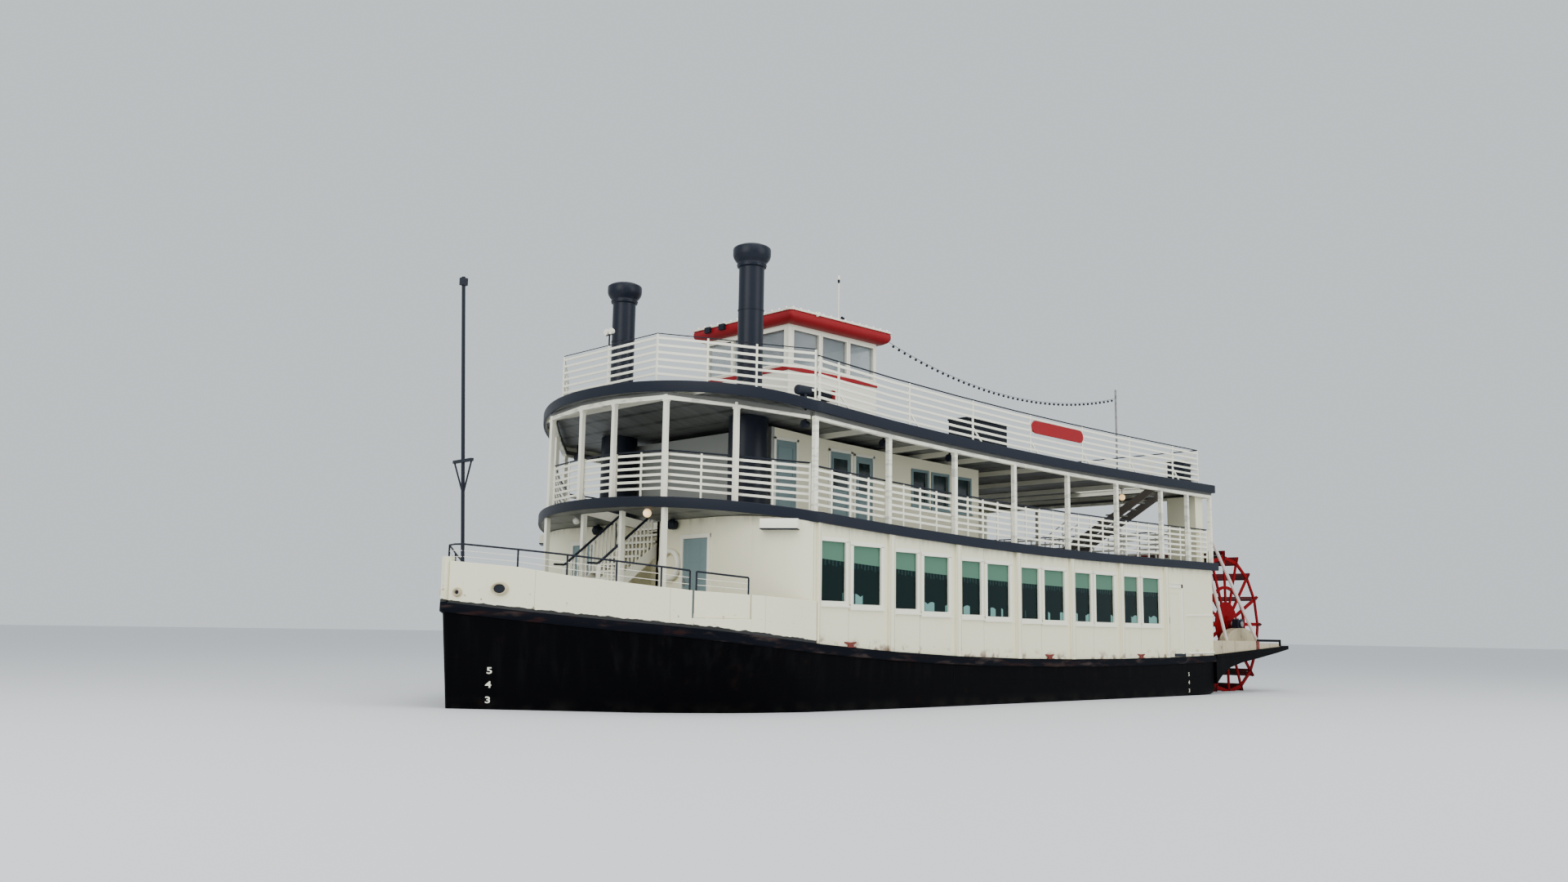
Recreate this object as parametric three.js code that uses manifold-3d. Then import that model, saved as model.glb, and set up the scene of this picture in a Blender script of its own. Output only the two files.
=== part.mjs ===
// A three-deck paddle steamer with one stern wheel, in millimetres.
// X runs forward to the bow, Y to port and Z up; the origin lies amidships on the waterline.
import * as THREE from 'three';
import { mergeVertices } from 'three/addons/utils/BufferGeometryUtils.js';
import Module from 'manifold-3d';

const wasm = await Module();
wasm.setup();

// Clearance between pieces that rest on each other, and between a leaf and its frame.
const SEAT = 0.3;
const LEAF_GAP = 6;
const HINGE = { radius: 8, inset: 8 };

// Hull and main deck
const STEM_X = 15000;
const STEM_HALF = 60;
const TRANSOM_X = -9650;
const HALF_BEAM = 5200;
const SHELL_INSET = 70;
const RUB_HEIGHT = 210;
const FOREDECK_RISE = 200;
const FOREDECK_INSET = 220;

// Upper decks: straight sides and a round fore edge, bent as a power curve from shoulder to nose
const FORE_EDGE = { shoulder: 8430, nose: 11230, noseBend: 1.3, sideBend: 2.26 };
const DECK_STERN_X = -9900;
const DECK_2_THICK = 230;
const DECK_3_THICK = 100;
const FASCIA_DEPTH = 240;
const FASCIA_THICK = 60;
const STOREY = 2540;

// Posts and railings
const POST = 110;
const POST_LINE = 5050;
const HEADER_DEPTH = 170;
const RAIL_THICK = 30;
const RAIL_DEPTH = 70;
const RAIL_LEVELS_2 = [200, 380, 540, 700, 860, 1000];
const RAIL_LEVELS_3 = [110, 270, 430, 610, 800, 980];
const RAIL_CAP = 1090;
const FORE_RAIL_3_RISE = 150;
const BAYS = [8510, 5970, 3430, 890, -1640, -4180, -6720, -8320];

// Main house
const HOUSE_FRONT_X = 9700;
const HOUSE_STERN_X = -9650;
const HOUSE_HALF = 5120;
const HOUSE_CORNER = { x: 1200, y: 2200 };
const WALL = 100;
const ALCOVE_HALF = 800;
const ALCOVE_BACK_X = 8600;
const WINDOW_HEIGHT = 1400;
const WINDOW_DROP = 590;
const GLASS = 12;
const GLASS_DEPTH = 45;

// Stern wheel
const WHEEL_X = -12600;
const WHEEL_Z = 2260;
const WHEEL_RADIUS = 2520;
const WHEEL_HALF = 4100;
const BUCKETS = 16;
const SHAFT = 95;
const SHAFT_BORE = 95.8;
const ARM_IN = 4250;
const ARM_OUT = 5200;

// Stations where the sheer lines bend, from bow to stern
const STATIONS = [
  15000, 13950, 13270, 12600, 12000, 11884, 11544, 11004, 10300, 9480, 8600,
  5970, 3430, 890, -1640, -4180, -6720, -8320, -9650, -12800, -15200,
];

// A line through points [x, value], read off at any x; rows run from bow to stern.
function along(rows, x) {
  const after = rows.findIndex((row) => row[0] <= x);
  if (after <= 0) return rows[after === 0 ? 0 : rows.length - 1][1];
  const [xa, a] = rows[after - 1];
  const [xb, b] = rows[after];
  return b + ((a - b) * (x - xb)) / (xa - xb);
}

const mainSheer = STATIONS.map((x) => {
  const d = (x + 2500) / 1000;
  const rise = d > 0 ? 2.1 * d ** 2 + 0.0965 * d ** 3 : 1.9 * d ** 2;
  return [x, 1140 + rise];
});
// Extra rise of the upper decks' fore ends, as rows of x and height
const FORE_RISE_2 = [[11544, 245], [8600, 0]];
const FORE_RISE_3 = [[11544, 455], [10300, 315], [9480, 195], [8600, 20], [5970, 0]];
const upperSheer = (rise) => STATIONS.map((x) => {
  const d = (x + 3500) / 1000;
  return [x, 4150 + (d > 0 ? 2.3 : 0.8) * d ** 2 + along(rise, x)];
});
const sheer2 = upperSheer(FORE_RISE_2);
const sheer3 = upperSheer(FORE_RISE_3);
const mainDeck = (x) => along(mainSheer, x);
const deck2 = (x) => along(sheer2, x);
const deck3 = (x) => along(sheer3, x) + STOREY;
const level = (surface, offset) => (x) => surface(x) + offset;

// Solids from three.js geometries, and joins and cuts between them
function solid(geometry) {
  const bare = geometry.index ? geometry.toNonIndexed() : geometry.clone();
  bare.deleteAttribute('normal');
  bare.deleteAttribute('uv');
  const merged = mergeVertices(bare, 1e-3);
  const make = (triVerts) => new wasm.Manifold(
    new wasm.Mesh({
      numProp: 3, vertProperties: merged.attributes.position.array, triVerts,
    }),
  );
  const made = make(new Uint32Array(merged.index.array));
  return made.volume() < 0
    ? make(new Uint32Array(merged.index.array).reverse())
    : made;
}

const join = (first, ...others) => others.reduce((sum, piece) => sum.add(piece), first);
const cut = (first, ...others) => others.reduce((rest, piece) => rest.subtract(piece), first);

function box(x0, x1, y0, y1, z0, z1) {
  const block = new THREE.BoxGeometry(Math.abs(x1 - x0), Math.abs(y1 - y0), Math.abs(z1 - z0));
  return solid(block.translate((x0 + x1) / 2, (y0 + y1) / 2, (z0 + z1) / 2));
}

// A round bar between two points
function bar(a, b, radius, sides = 8) {
  const from = new THREE.Vector3(...a);
  const run = new THREE.Vector3(...b).sub(from);
  const turn = new THREE.Quaternion().setFromUnitVectors(
    new THREE.Vector3(0, 1, 0), run.clone().normalize(),
  );
  const rod = new THREE.CylinderGeometry(radius, radius, run.length(), sides);
  rod.applyQuaternion(turn);
  return solid(rod.translate(...from.addScaledVector(run, 0.5).toArray()));
}

// An upright prism over a plan outline of [x, y] points
function prism(outline, z0, z1) {
  const shape = new THREE.Shape(outline.map(([x, y]) => new THREE.Vector2(x, y)));
  const block = new THREE.ExtrudeGeometry(shape, { depth: z1 - z0, bevelEnabled: false });
  return solid(block.translate(0, 0, z0));
}

// A side profile of [x, z] points, extruded across from y0 to y1
function slab(profile, y0, y1) {
  const shape = new THREE.Shape(profile.map(([x, z]) => new THREE.Vector2(x, z)));
  const block = new THREE.ExtrudeGeometry(shape, { depth: y1 - y0, bevelEnabled: false });
  return solid(block.rotateX(Math.PI / 2).translate(0, y1, 0));
}

// A cross profile of [y, z] points, extruded from x0 to x1
function rib(profile, x0, x1) {
  const shape = new THREE.Shape(profile.map(([y, z]) => new THREE.Vector2(y, z)));
  const block = new THREE.ExtrudeGeometry(shape, { depth: x1 - x0, bevelEnabled: false });
  return solid(block.rotateX(Math.PI / 2).rotateZ(Math.PI / 2).translate(x0, 0, 0));
}

// A solid of revolution about an upright axis, from [radius, z] points
function turned(profile, x, y, sides = 16) {
  const points = profile.map(([r, z]) => new THREE.Vector2(r, z));
  const body = new THREE.LatheGeometry(points, sides).rotateX(Math.PI / 2);
  return solid(body.translate(x, y, 0));
}

// A closed skin over rings of equally many [x, y, z] points
function skin(rings) {
  const count = rings[0].length;
  const faces = [];
  rings.slice(1).forEach((ring, i) => {
    const last = rings[i];
    ring.forEach((_, k) => {
      const n = (k + 1) % count;
      faces.push(last[k], last[n], ring[n], last[k], ring[n], ring[k]);
    });
  });
  for (let k = 1; k < count - 1; k += 1) {
    faces.push(rings[0][0], rings[0][k + 1], rings[0][k]);
    const end = rings[rings.length - 1];
    faces.push(end[0], end[k], end[k + 1]);
  }
  const geometry = new THREE.BufferGeometry();
  geometry.setAttribute('position', new THREE.Float32BufferAttribute(faces.flat(), 3));
  return solid(geometry);
}

// Everything between two sheer surfaces, from x0 aft to x1 forward
function layer(low, high, x0 = -15200, x1 = 15000, half = 6000) {
  const inside = STATIONS.filter((x) => x > x0 && x < x1).reverse();
  return skin([x0, ...inside, x1].map((x) => [
    [x, -half, low(x)], [x, half, low(x)], [x, half, high(x)], [x, -half, high(x)],
  ]));
}

// A plan path of [x, y] points moved sideways, to the left of its run, with mitred corners
function beside(path, distance) {
  const points = path.map(([x, y]) => new THREE.Vector2(x, y));
  return points.map((p, i) => {
    const a = points[Math.max(i - 1, 0)];
    const b = points[Math.min(i + 1, points.length - 1)];
    const into = p.clone().sub(a).normalize();
    const out = b.clone().sub(p).normalize();
    const run = (i === 0 ? out : i === points.length - 1 ? into : into.clone().add(out)).normalize();
    const reach = distance / (i === 0 ? 1 : run.dot(into.length() ? into : out));
    return [p.x - run.y * reach, p.y + run.x * reach];
  });
}
const mirrorLine = (line) => line.map(([x, y]) => [x, -y]).reverse();

// A wall of a given thickness that follows a plan path of [x, y] points, from z0 to z1
function wallAlong(path, thickness, z0, z1) {
  const left = beside(path, thickness / 2);
  const right = beside(path, -thickness / 2);
  return skin(path.map(([x, y], i) => {
    const p = { x, y };
    const [a, b] = [left[i], right[i]].map(([u, v]) => ({ x: u, y: v }));
    const bottom = typeof z0 === 'function' ? z0(p.x) : z0;
    const top = typeof z1 === 'function' ? z1(p.x) : z1;
    return [[a.x, a.y, bottom], [b.x, b.y, bottom], [b.x, b.y, top], [a.x, a.y, top]];
  }));
}

// Plan outline of an upper deck, moved in by an inset
function deckOutline(inset) {
  const { shoulder, nose, noseBend, sideBend } = FORE_EDGE;
  const bend = [12, 24, 36, 48, 60, 74, 90].map((degrees) => {
    const angle = THREE.MathUtils.degToRad(degrees);
    return [
      shoulder + (nose - shoulder - inset) * Math.abs(Math.cos(angle)) ** (2 / noseBend),
      (HALF_BEAM - inset) * Math.sin(angle) ** (2 / sideBend),
    ];
  });
  const port = [...bend, [DECK_STERN_X + inset, HALF_BEAM - inset]];
  return [[nose - inset, 0], ...port, ...mirrorLine(port)];
}

// Half of the hull's plan: a straight-sided bow, a round shoulder and a parallel body
const SHOULDER = { x: 9550, y: 2130, radius: 3070 };
const BOW = [[STEM_X, STEM_HALF], [13950, 1400], [13270, 2300], [12000, 3980]];
function hullHalf(x) {
  if (x >= BOW[3][0]) return along(BOW, x);
  const reach = Math.max(x - SHOULDER.x, 0);
  return SHOULDER.y + Math.sqrt(SHOULDER.radius ** 2 - reach ** 2);
}
function hullOutline(inset, aftX = TRANSOM_X) {
  const xs = STATIONS.filter((x) => x > Math.max(aftX, SHOULDER.x));
  const port = [...xs.map((x) => [x - (x > 14000 ? inset : 0), Math.max(hullHalf(x) - inset, 20)]),
    [SHOULDER.x, HALF_BEAM - inset], [aftX, HALF_BEAM - inset]];
  return [...port, ...port.map(([x, y]) => [x, -y]).reverse()];
}

const model = new THREE.Group();
function place(name, body, finish) {
  const { vertProperties, triVerts } = body.getMesh();
  const geometry = new THREE.BufferGeometry();
  geometry.setAttribute('position', new THREE.Float32BufferAttribute(vertProperties, 3));
  geometry.setIndex([...triVerts]);
  geometry.computeVertexNormals();
  const mesh = new THREE.Mesh(geometry, finish);
  mesh.name = name;
  model.add(mesh);
  return mesh;
}
// The port piece and its mirror image to starboard
function placePair(name, body, finish) {
  const port = place(`${name}_port`, body, finish);
  const starboard = port.clone();
  starboard.name = `${name}_starboard`;
  starboard.scale.y = -1;
  model.add(starboard);
}

const finish = (color, roughness, metalness = 0) => new THREE.MeshStandardMaterial({
  color, roughness, metalness,
});
const HULL_BLACK = finish(0x0f1013, 0.45);
const WHITE = finish(0xe9e6dc, 0.5);
const TRIM_BLACK = finish(0x15161a, 0.5);
const DECK_GREY = finish(0x6f7274, 0.8);
const RED = finish(0xb3171f, 0.5);
const DOOR_BLUE = finish(0x7d9aa6, 0.55);
const TINTED = finish(0x35564d, 0.1);
const STEEL = finish(0x55504c, 0.5, 0.8);

// Hull: columns x, keel height, keel half-width, bilge height, bilge half-width
const HULL_RINGS = [
  [-9600, -50, 4700, 150, 5130],
  [-5500, -850, 4700, -420, 5130],
  [5000, -850, 4700, -420, 5130],
  [8600, -850, 4200, -380, 4900],
  [10300, -850, 3300, -300, 4250],
  [12000, -850, 2100, -200, 3150],
  [13270, -850, 1050, -100, 1700],
  [13950, -850, 520, -100, 950],
];
const STEM_RAKE = [[14450, -850, 30], [14740, -100, 30]];
const RUDDER = {
  x: -9200, y: 2200, chord: [-9800, -8750], low: -850, high: -360, stock: 45, head: 280,
};

function hullBody() {
  const ring = (top, keel, bilge) => [
    [keel[0], -keel[2], keel[1]], [keel[0], keel[2], keel[1]], [bilge[0], bilge[2], bilge[1]],
    top, [top[0], -top[1], top[2]], [bilge[0], -bilge[2], bilge[1]],
  ];
  const rings = HULL_RINGS.map(([x, keelZ, keelHalf, bilgeZ, bilgeHalf]) => ring(
    [x, hullHalf(x) - SHELL_INSET, mainDeck(x) + 200], [x, keelZ, keelHalf], [x, bilgeZ, bilgeHalf],
  ));
  const stemTop = [STEM_X - SHELL_INSET, 40, mainDeck(STEM_X) + 200];
  rings.push(ring(stemTop, STEM_RAKE[0], STEM_RAKE[1]));
  const sheered = skin(rings).intersect(layer(() => -2000, level(mainDeck, -RUB_HEIGHT - SEAT)));
  return [1, -1].reduce((body, side) => {
    const [x, y] = [RUDDER.x, side * RUDDER.y];
    return cut(
      join(body, bar([x, y, -230], [x, y, 100], RUDDER.stock + 75, 12)),
      bar([x, y, -400], [x, y, RUDDER.head + SEAT], RUDDER.stock + 3, 16),
    );
  }, sheered);
}
place('hull', hullBody(), HULL_BLACK);

const deckPlate = layer(level(mainDeck, -RUB_HEIGHT), mainDeck);
place('main_deck', prism(hullOutline(0), 0, 4000).intersect(deckPlate), DECK_GREY);

// Main house: plan outline with rounded fore corners, moved in by an inset
function houseOutline(inset) {
  const corner = [0, 18, 36, 54, 72, 90].map((degrees) => {
    const angle = THREE.MathUtils.degToRad(degrees);
    return [
      HOUSE_FRONT_X - HOUSE_CORNER.x + (HOUSE_CORNER.x - inset) * Math.cos(angle),
      HOUSE_HALF - HOUSE_CORNER.y + (HOUSE_CORNER.y - inset) * Math.sin(angle),
    ];
  });
  const port = [...corner, [HOUSE_STERN_X + inset, HOUSE_HALF - inset]];
  return [...port, ...port.map(([x, y]) => [x, -y]).reverse()];
}
const houseStorey = layer(level(mainDeck, SEAT), level(deck2, -DECK_2_THICK - SEAT));
const houseBlock = prism(houseOutline(0), 0, 6000);
const houseShell = cut(houseBlock, prism(houseOutline(WALL), -10, 6010)).intersect(houseStorey);
const PANEL_JOINT_X = HOUSE_FRONT_X - HOUSE_CORNER.x;

const foredeckPlan = prism(hullOutline(FOREDECK_INSET, 8000), 0, 4000);
place('foredeck', cut(
  foredeckPlan.intersect(layer(level(mainDeck, SEAT), level(mainDeck, FOREDECK_RISE), 8000, 14600)),
  prism(houseOutline(-SEAT), 0, 6000),
), DECK_GREY);

// Doors: a leaf in its opening, with a pivot pin at the hinged edge that reaches to sill and head
function leafOn(leaf, [x, y], [low, high]) {
  const reach = LEAF_GAP - SEAT;
  return join(leaf, bar([x, y, low - reach], [x, y, high + reach], HINGE.radius, 12));
}
const FORE_DOOR = { y: [1830, 2740], z: [1950, 3930], thick: 45 };
const AFT_DOOR = { x: [-7650, -6870], z: [1270, 3310], thick: 45 };

function houseFront() {
  const front = houseShell.intersect(box(PANEL_JOINT_X + SEAT, 12000, -6000, 6000, 0, 6000));
  const recess = box(ALCOVE_BACK_X, 12000, -ALCOVE_HALF, ALCOVE_HALF, 0, 6000);
  const lining = cut(
    box(ALCOVE_BACK_X - WALL, HOUSE_FRONT_X, -ALCOVE_HALF - WALL, ALCOVE_HALF + WALL, 0, 6000),
    recess,
  ).intersect(houseStorey);
  const openings = [1, -1].map((side) => box(
    9000, 10500, side * (FORE_DOOR.y[0] - LEAF_GAP), side * (FORE_DOOR.y[1] + LEAF_GAP),
    FORE_DOOR.z[0] - LEAF_GAP, FORE_DOOR.z[1] + LEAF_GAP,
  ));
  return cut(join(cut(front, recess), lining), ...openings);
}
place('house_front', houseFront(), WHITE);
placePair('fore_door', leafOn(box(
  HOUSE_FRONT_X - FORE_DOOR.thick, HOUSE_FRONT_X, ...FORE_DOOR.y, ...FORE_DOOR.z,
), [HOUSE_FRONT_X, FORE_DOOR.y[1] - HINGE.inset], FORE_DOOR.z), DOOR_BLUE);

// Saloon windows in pairs: columns fore edge and aft edge, as distances aft of the pilaster
const WINDOW_PAIR = [[140, 980], [1200, 2200]];
const saloonWindows = BAYS.slice(0, 6).flatMap((pilaster) => WINDOW_PAIR.map(([fore, aft]) => {
  const top = deck2(pilaster - (fore + aft) / 2) - WINDOW_DROP;
  return { x: [pilaster - aft, pilaster - fore], z: [top - WINDOW_HEIGHT, top] };
}));
const PILASTER = { width: 200, proud: 75 };

function houseSide() {
  const side = houseShell.intersect(
    box(HOUSE_STERN_X + WALL + SEAT, PANEL_JOINT_X, HOUSE_HALF - WALL - 1, 6000, 0, 6000),
  );
  const pilasters = BAYS.slice(0, 7).map((x) => box(
    x - PILASTER.width / 2, Math.min(x + PILASTER.width / 2, PANEL_JOINT_X),
    HOUSE_HALF - 20, HOUSE_HALF + PILASTER.proud, 0, 6000,
  ).intersect(houseStorey));
  const holes = saloonWindows.map(({ x, z }) => box(...x, 4000, 6000, ...z));
  const doorway = box(
    AFT_DOOR.x[0] - LEAF_GAP, AFT_DOOR.x[1] + LEAF_GAP, 4000, 6000,
    AFT_DOOR.z[0] - LEAF_GAP, AFT_DOOR.z[1] + LEAF_GAP,
  );
  const paneSlot = box(
    -6600, 8450, HOUSE_HALF - WALL - 10, HOUSE_HALF - GLASS_DEPTH + SEAT, 0, 6000,
  ).intersect(layer(level(deck2, -2160), level(deck2, -460)));
  return cut(join(side, ...pilasters), ...holes, doorway, paneSlot);
}
placePair('house_side', houseSide(), WHITE);
placePair('saloon_glass', box(
  -6599, 8449, HOUSE_HALF - GLASS_DEPTH - GLASS, HOUSE_HALF - GLASS_DEPTH, 0, 6000,
).intersect(layer(level(deck2, -2159), level(deck2, -461))), TINTED);
placePair('aft_door', leafOn(box(
  ...AFT_DOOR.x, HOUSE_HALF - AFT_DOOR.thick, HOUSE_HALF, ...AFT_DOOR.z,
), [AFT_DOOR.x[0] + HINGE.inset, HOUSE_HALF], AFT_DOOR.z), WHITE);
place('house_stern', houseShell.intersect(
  box(-20000, HOUSE_STERN_X + WALL, -6000, 6000, 0, 6000),
), WHITE);

// Bulwark round the foredeck, from the stem to the house, with a boarding gate on each side
const BULWARK_INSET = 55;
const BULWARK_THICK = 50;
const BULWARK_AFT_X = 8520;
const BULWARK_TOP = [
  [15000, 3220], [13950, 3080], [13270, 2910], [12000, 2680], [11500, 2610], [10400, 2550],
  [8500, 2460],
];
const RAIL_TOP = [
  [15000, 3620], [13950, 3460], [13270, 3350], [12000, 3110], [11500, 3020], [10400, 2910],
  [8500, 2850],
];
const bulwarkTop = (x) => along(BULWARK_TOP, x);
const bowRail = (x) => along(RAIL_TOP, x);
const bulwarkLine = (x) => [x, hullHalf(x) - BULWARK_INSET];
const GATE = { fore: 11500, aft: 10420, jamb: 35, stanchion: 80 };
const KERB_TOP = mainDeck(GATE.fore) + FOREDECK_RISE + 10;

function bulwark() {
  const path = [14850, 13950, 13270, 12600, 12000, 11544, 11004, 10300, 9480, 8600, BULWARK_AFT_X]
    .map((x) => (x > 14000 ? [x, 0] : bulwarkLine(x)));
  const whole = [...path.map(([x, y]) => [x, -y]).reverse(), ...path.slice(1)];
  const gateway = box(
    GATE.aft - GATE.jamb, GATE.fore + GATE.jamb, -6000, 6000, KERB_TOP, 6000,
  );
  const plate = cut(
    wallAlong(whole, BULWARK_THICK, 1000, bulwarkTop),
    layer(() => 0, level(mainDeck, SEAT)),
    gateway,
  );
  const railPath = [13950, 13270, 12600, 12000, GATE.fore + GATE.jamb].map(bulwarkLine);
  const stem = [[14700, 300]];
  const rails = [1, -1].flatMap((side) => {
    const line = [...stem, ...railPath].map(([x, y]) => [x, side * y]);
    const [endX, endY] = bulwarkLine(GATE.fore + GATE.stanchion);
    const stanchions = [...line.slice(0, -1), [endX, side * endY]].map(([x, y]) => box(
      x - 22, x + 22, y - 22, y + 22, bulwarkTop(x) - 60, bowRail(x) - 10,
    ));
    return [wallAlong(line, 40, level(bowRail, -40), bowRail), ...stanchions];
  });
  const stemHead = box(14760, 14990, -75, 75, mainDeck(STEM_X) + SEAT, 3610);
  return join(plate, stemHead, ...rails);
}
place('bulwark', bulwark(), WHITE);

function gate() {
  const path = [bulwarkLine(GATE.fore), bulwarkLine(GATE.aft)];
  const leaf = wallAlong(path, BULWARK_THICK, KERB_TOP + LEAF_GAP, bulwarkTop);
  const rail = wallAlong(path, 40, level(bowRail, -40), bowRail);
  const posts = [0.03, 0.97].map((t) => {
    const [x, y] = [0, 1].map((k) => path[0][k] + t * (path[1][k] - path[0][k]));
    return box(x - 18, x + 18, y - 18, y + 18, bulwarkTop(x) - 60, bowRail(x) - 10);
  });
  const pin = bar([...path[0], KERB_TOP + SEAT], [...path[0], KERB_TOP + 100], 12, 12);
  return join(leaf, rail, pin, ...posts);
}
placePair('gate', gate(), WHITE);

// Fore stair on the centre line, from the foredeck up to deck 2
const STAIR = { footX: 11750, topX: 8720, half: 700, steps: 13 };
function foreStair() {
  const foot = mainDeck(STAIR.footX) + FOREDECK_RISE;
  const rise = (deck2(STAIR.topX) - foot) / STAIR.steps;
  const going = (STAIR.footX - STAIR.topX) / STAIR.steps;
  const treads = Array.from({ length: STAIR.steps - 1 }, (_, i) => box(
    STAIR.footX - (i + 1) * going - 40, STAIR.footX - i * going,
    -STAIR.half + 20, STAIR.half - 20, foot + (i + 1) * rise - 40, foot + (i + 1) * rise,
  ));
  const slope = (deck2(STAIR.topX) - foot) / (STAIR.footX - STAIR.topX);
  const nosing = (x) => foot + (STAIR.footX - x) * slope;
  const stringer = [
    [STAIR.footX + 60, foot + 60], [STAIR.footX + 60, foot + 160],
    [STAIR.topX + SEAT, nosing(STAIR.topX) + 40], [STAIR.topX + SEAT, nosing(STAIR.topX) - 240],
    [STAIR.footX - 250, foot + SEAT + 60],
  ];
  const sides = [1, -1].map((side) => {
    const y = side * STAIR.half;
    const plate = slab(stringer, y - 20, y + 20);
    const topX = 9760;
    const rail = slab([
      [11330, nosing(11330) + 900], [11330, nosing(11330) + 960],
      [topX, nosing(topX) + 960], [topX, nosing(topX) + 900],
    ], y - 30, y + 30);
    const newels = [11300, 10550, 9800].map((x) => box(
      x - 25, x + 25, y - 18, y + 18, nosing(x) - 20, nosing(x) + 930,
    ));
    return join(plate, rail, ...newels);
  });
  return join(treads[0], ...treads.slice(1), ...sides).intersect(
    layer(level(mainDeck, FOREDECK_RISE + SEAT), level(deck2, 800)),
  );
}
place('fore_stair', foreStair(), WHITE);

// Deck 2 with its stair well and the posts that carry its fore edge
const WELL_2 = { x: [STAIR.topX, 10830], half: 760 };
const FORE_POSTS = [[10760, 790], [10760, 2410], [10760, -790], [10760, -2410]];
function deckTwo() {
  const plate = prism(deckOutline(0), 0, 9000).intersect(layer(level(deck2, -DECK_2_THICK), deck2));
  const well = box(...WELL_2.x, -WELL_2.half, WELL_2.half, 0, 9000);
  const reach = layer(level(mainDeck, FOREDECK_RISE + SEAT), level(deck2, -20));
  const posts = FORE_POSTS.map(([x, y]) => box(
    x - POST / 2, x + POST / 2, y - POST / 2, y + POST / 2, 0, 9000,
  ).intersect(reach));
  return join(cut(plate, well), ...posts);
}
place('deck_2', deckTwo(), WHITE);

// Posts under deck 3: a header beam that follows the deck edge, with a post at each place
const promenade = layer(level(deck2, SEAT), level(deck3, -FASCIA_DEPTH - SEAT));
const header = layer(
  level(deck3, -FASCIA_DEPTH - HEADER_DEPTH), level(deck3, -FASCIA_DEPTH - SEAT),
);
const SIDE_POSTS = [...BAYS, -9790].map((x) => [x, POST_LINE]);
const STERN_POSTS = [[-9790, 1700]];
const FORE_LINE = [[11000, 670], [10760, 2360], [9730, 3680]];
const POST_JOINT_X = 8580;

function posts(line, places) {
  const beam = wallAlong(line, POST, 4000, 9000).intersect(header);
  const legs = places.map(([x, y]) => box(
    x - POST / 2, x + POST / 2, y - POST / 2, y + POST / 2, 4000, 9000,
  ).intersect(promenade));
  return join(beam, ...legs);
}
const sternCorner = [-9790, POST_LINE];
placePair('posts_2', posts(
  [[POST_JOINT_X, POST_LINE], sternCorner, [-9790, 60]], [...SIDE_POSTS, ...STERN_POSTS],
), WHITE);
const foreBeam = [...FORE_LINE, [8575, 4977]];
place('posts_2_fore', posts(
  [...mirrorLine(foreBeam), ...foreBeam], [...FORE_LINE, ...mirrorLine(FORE_LINE)],
), WHITE);

// Railings: flat rails on upright pickets, inboard of the posts
function railing(line, deck, levels, pickets, lift = 0) {
  const top = RAIL_CAP + lift;
  const rails = levels.map((z) => wallAlong(
    line, RAIL_THICK, level(deck, z + lift - RAIL_DEPTH / 2), level(deck, z + lift + RAIL_DEPTH / 2),
  ));
  const cap = wallAlong(line, 50, level(deck, top - 40), level(deck, top));
  const uprights = pickets.map(([x, y]) => box(
    x - 22, x + 22, y - 22, y + 22, deck(x) - 200, deck(x) + top - 10,
  ));
  return join(rails[0], ...rails.slice(1), cap, ...uprights).intersect(
    layer(level(deck, SEAT), level(deck, top + 100)),
  );
}
// Points of a straight run between two places, both ends included
function spaced(a, b, count) {
  return Array.from({ length: count + 1 }, (_, i) => [0, 1].map(
    (k) => a[k] + ((b[k] - a[k]) * i) / count,
  ));
}
const stationLine = (x0, x1, y) => [
  [x0, y], ...STATIONS.filter((x) => x < x0 && x > x1).map((x) => [x, y]), [x1, y],
];
const FORE_RAIL_INSET = 110;
const RAIL_2_LINE = 4965;
const RAIL_2_STERN = -9700;
placePair('railing_2', railing(
  [...stationLine(8500, RAIL_2_STERN, RAIL_2_LINE), [RAIL_2_STERN, 60]], deck2, RAIL_LEVELS_2,
  [...spaced([8440, RAIL_2_LINE], [RAIL_2_STERN, RAIL_2_LINE], 5),
    ...spaced([RAIL_2_STERN, 3700], [RAIL_2_STERN, 100], 2)],
), WHITE);
const foreRail2 = beside([...mirrorLine(FORE_LINE), ...FORE_LINE, [8590, 4960]], FORE_RAIL_INSET)
  .slice(3);
place('railing_2_fore', railing(
  [...mirrorLine(foreRail2), ...foreRail2], deck2, RAIL_LEVELS_2,
  [...foreRail2, ...mirrorLine(foreRail2)],
), WHITE);

const RAIL_3_LINE = 5100;
const RAIL_3_STERN = -9000;
placePair('railing_3', railing(
  [...stationLine(8500, RAIL_3_STERN, RAIL_3_LINE), [RAIL_3_STERN, 60]], deck3, RAIL_LEVELS_3,
  [...spaced([8440, RAIL_3_LINE], [RAIL_3_STERN, RAIL_3_LINE], 5),
    ...spaced([RAIL_3_STERN, 3700], [RAIL_3_STERN, 100], 2)],
), WHITE);
const foreRail3 = [[10760, 1950], [10010, 2930], [9300, 3870], [8530, 5054]];
place('railing_3_fore', railing(
  [...mirrorLine(foreRail3), ...foreRail3], deck3,
  RAIL_LEVELS_3, [[10760, 0], ...foreRail3, ...mirrorLine(foreRail3)], FORE_RAIL_3_RISE,
), WHITE);

// Upper cabin on deck 2: four walls, three doors and three windows a side.
// Door columns: aft edge, fore edge and the edge that carries the hinge.
const CABIN = { x: [-350, 7880], half: 2900 };
const CABIN_DOORS = [[7030, 7720, 'aft'], [5050, 5800, 'fore'], [4200, 4850, 'aft']];
const CABIN_DOOR_TOP = 2050;
const CABIN_SILL = 50;
const CABIN_WINDOWS = [[1960, 2560], [1070, 1710], [70, 640]];
const cabinDoorZ = ([fromX, toX]) => [deck2(toX) + CABIN_SILL, deck2(fromX) + CABIN_DOOR_TOP];
const cabinWindowZ = ([fromX]) => [deck2(fromX) + 1050, deck2(fromX) + 1950];

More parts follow.
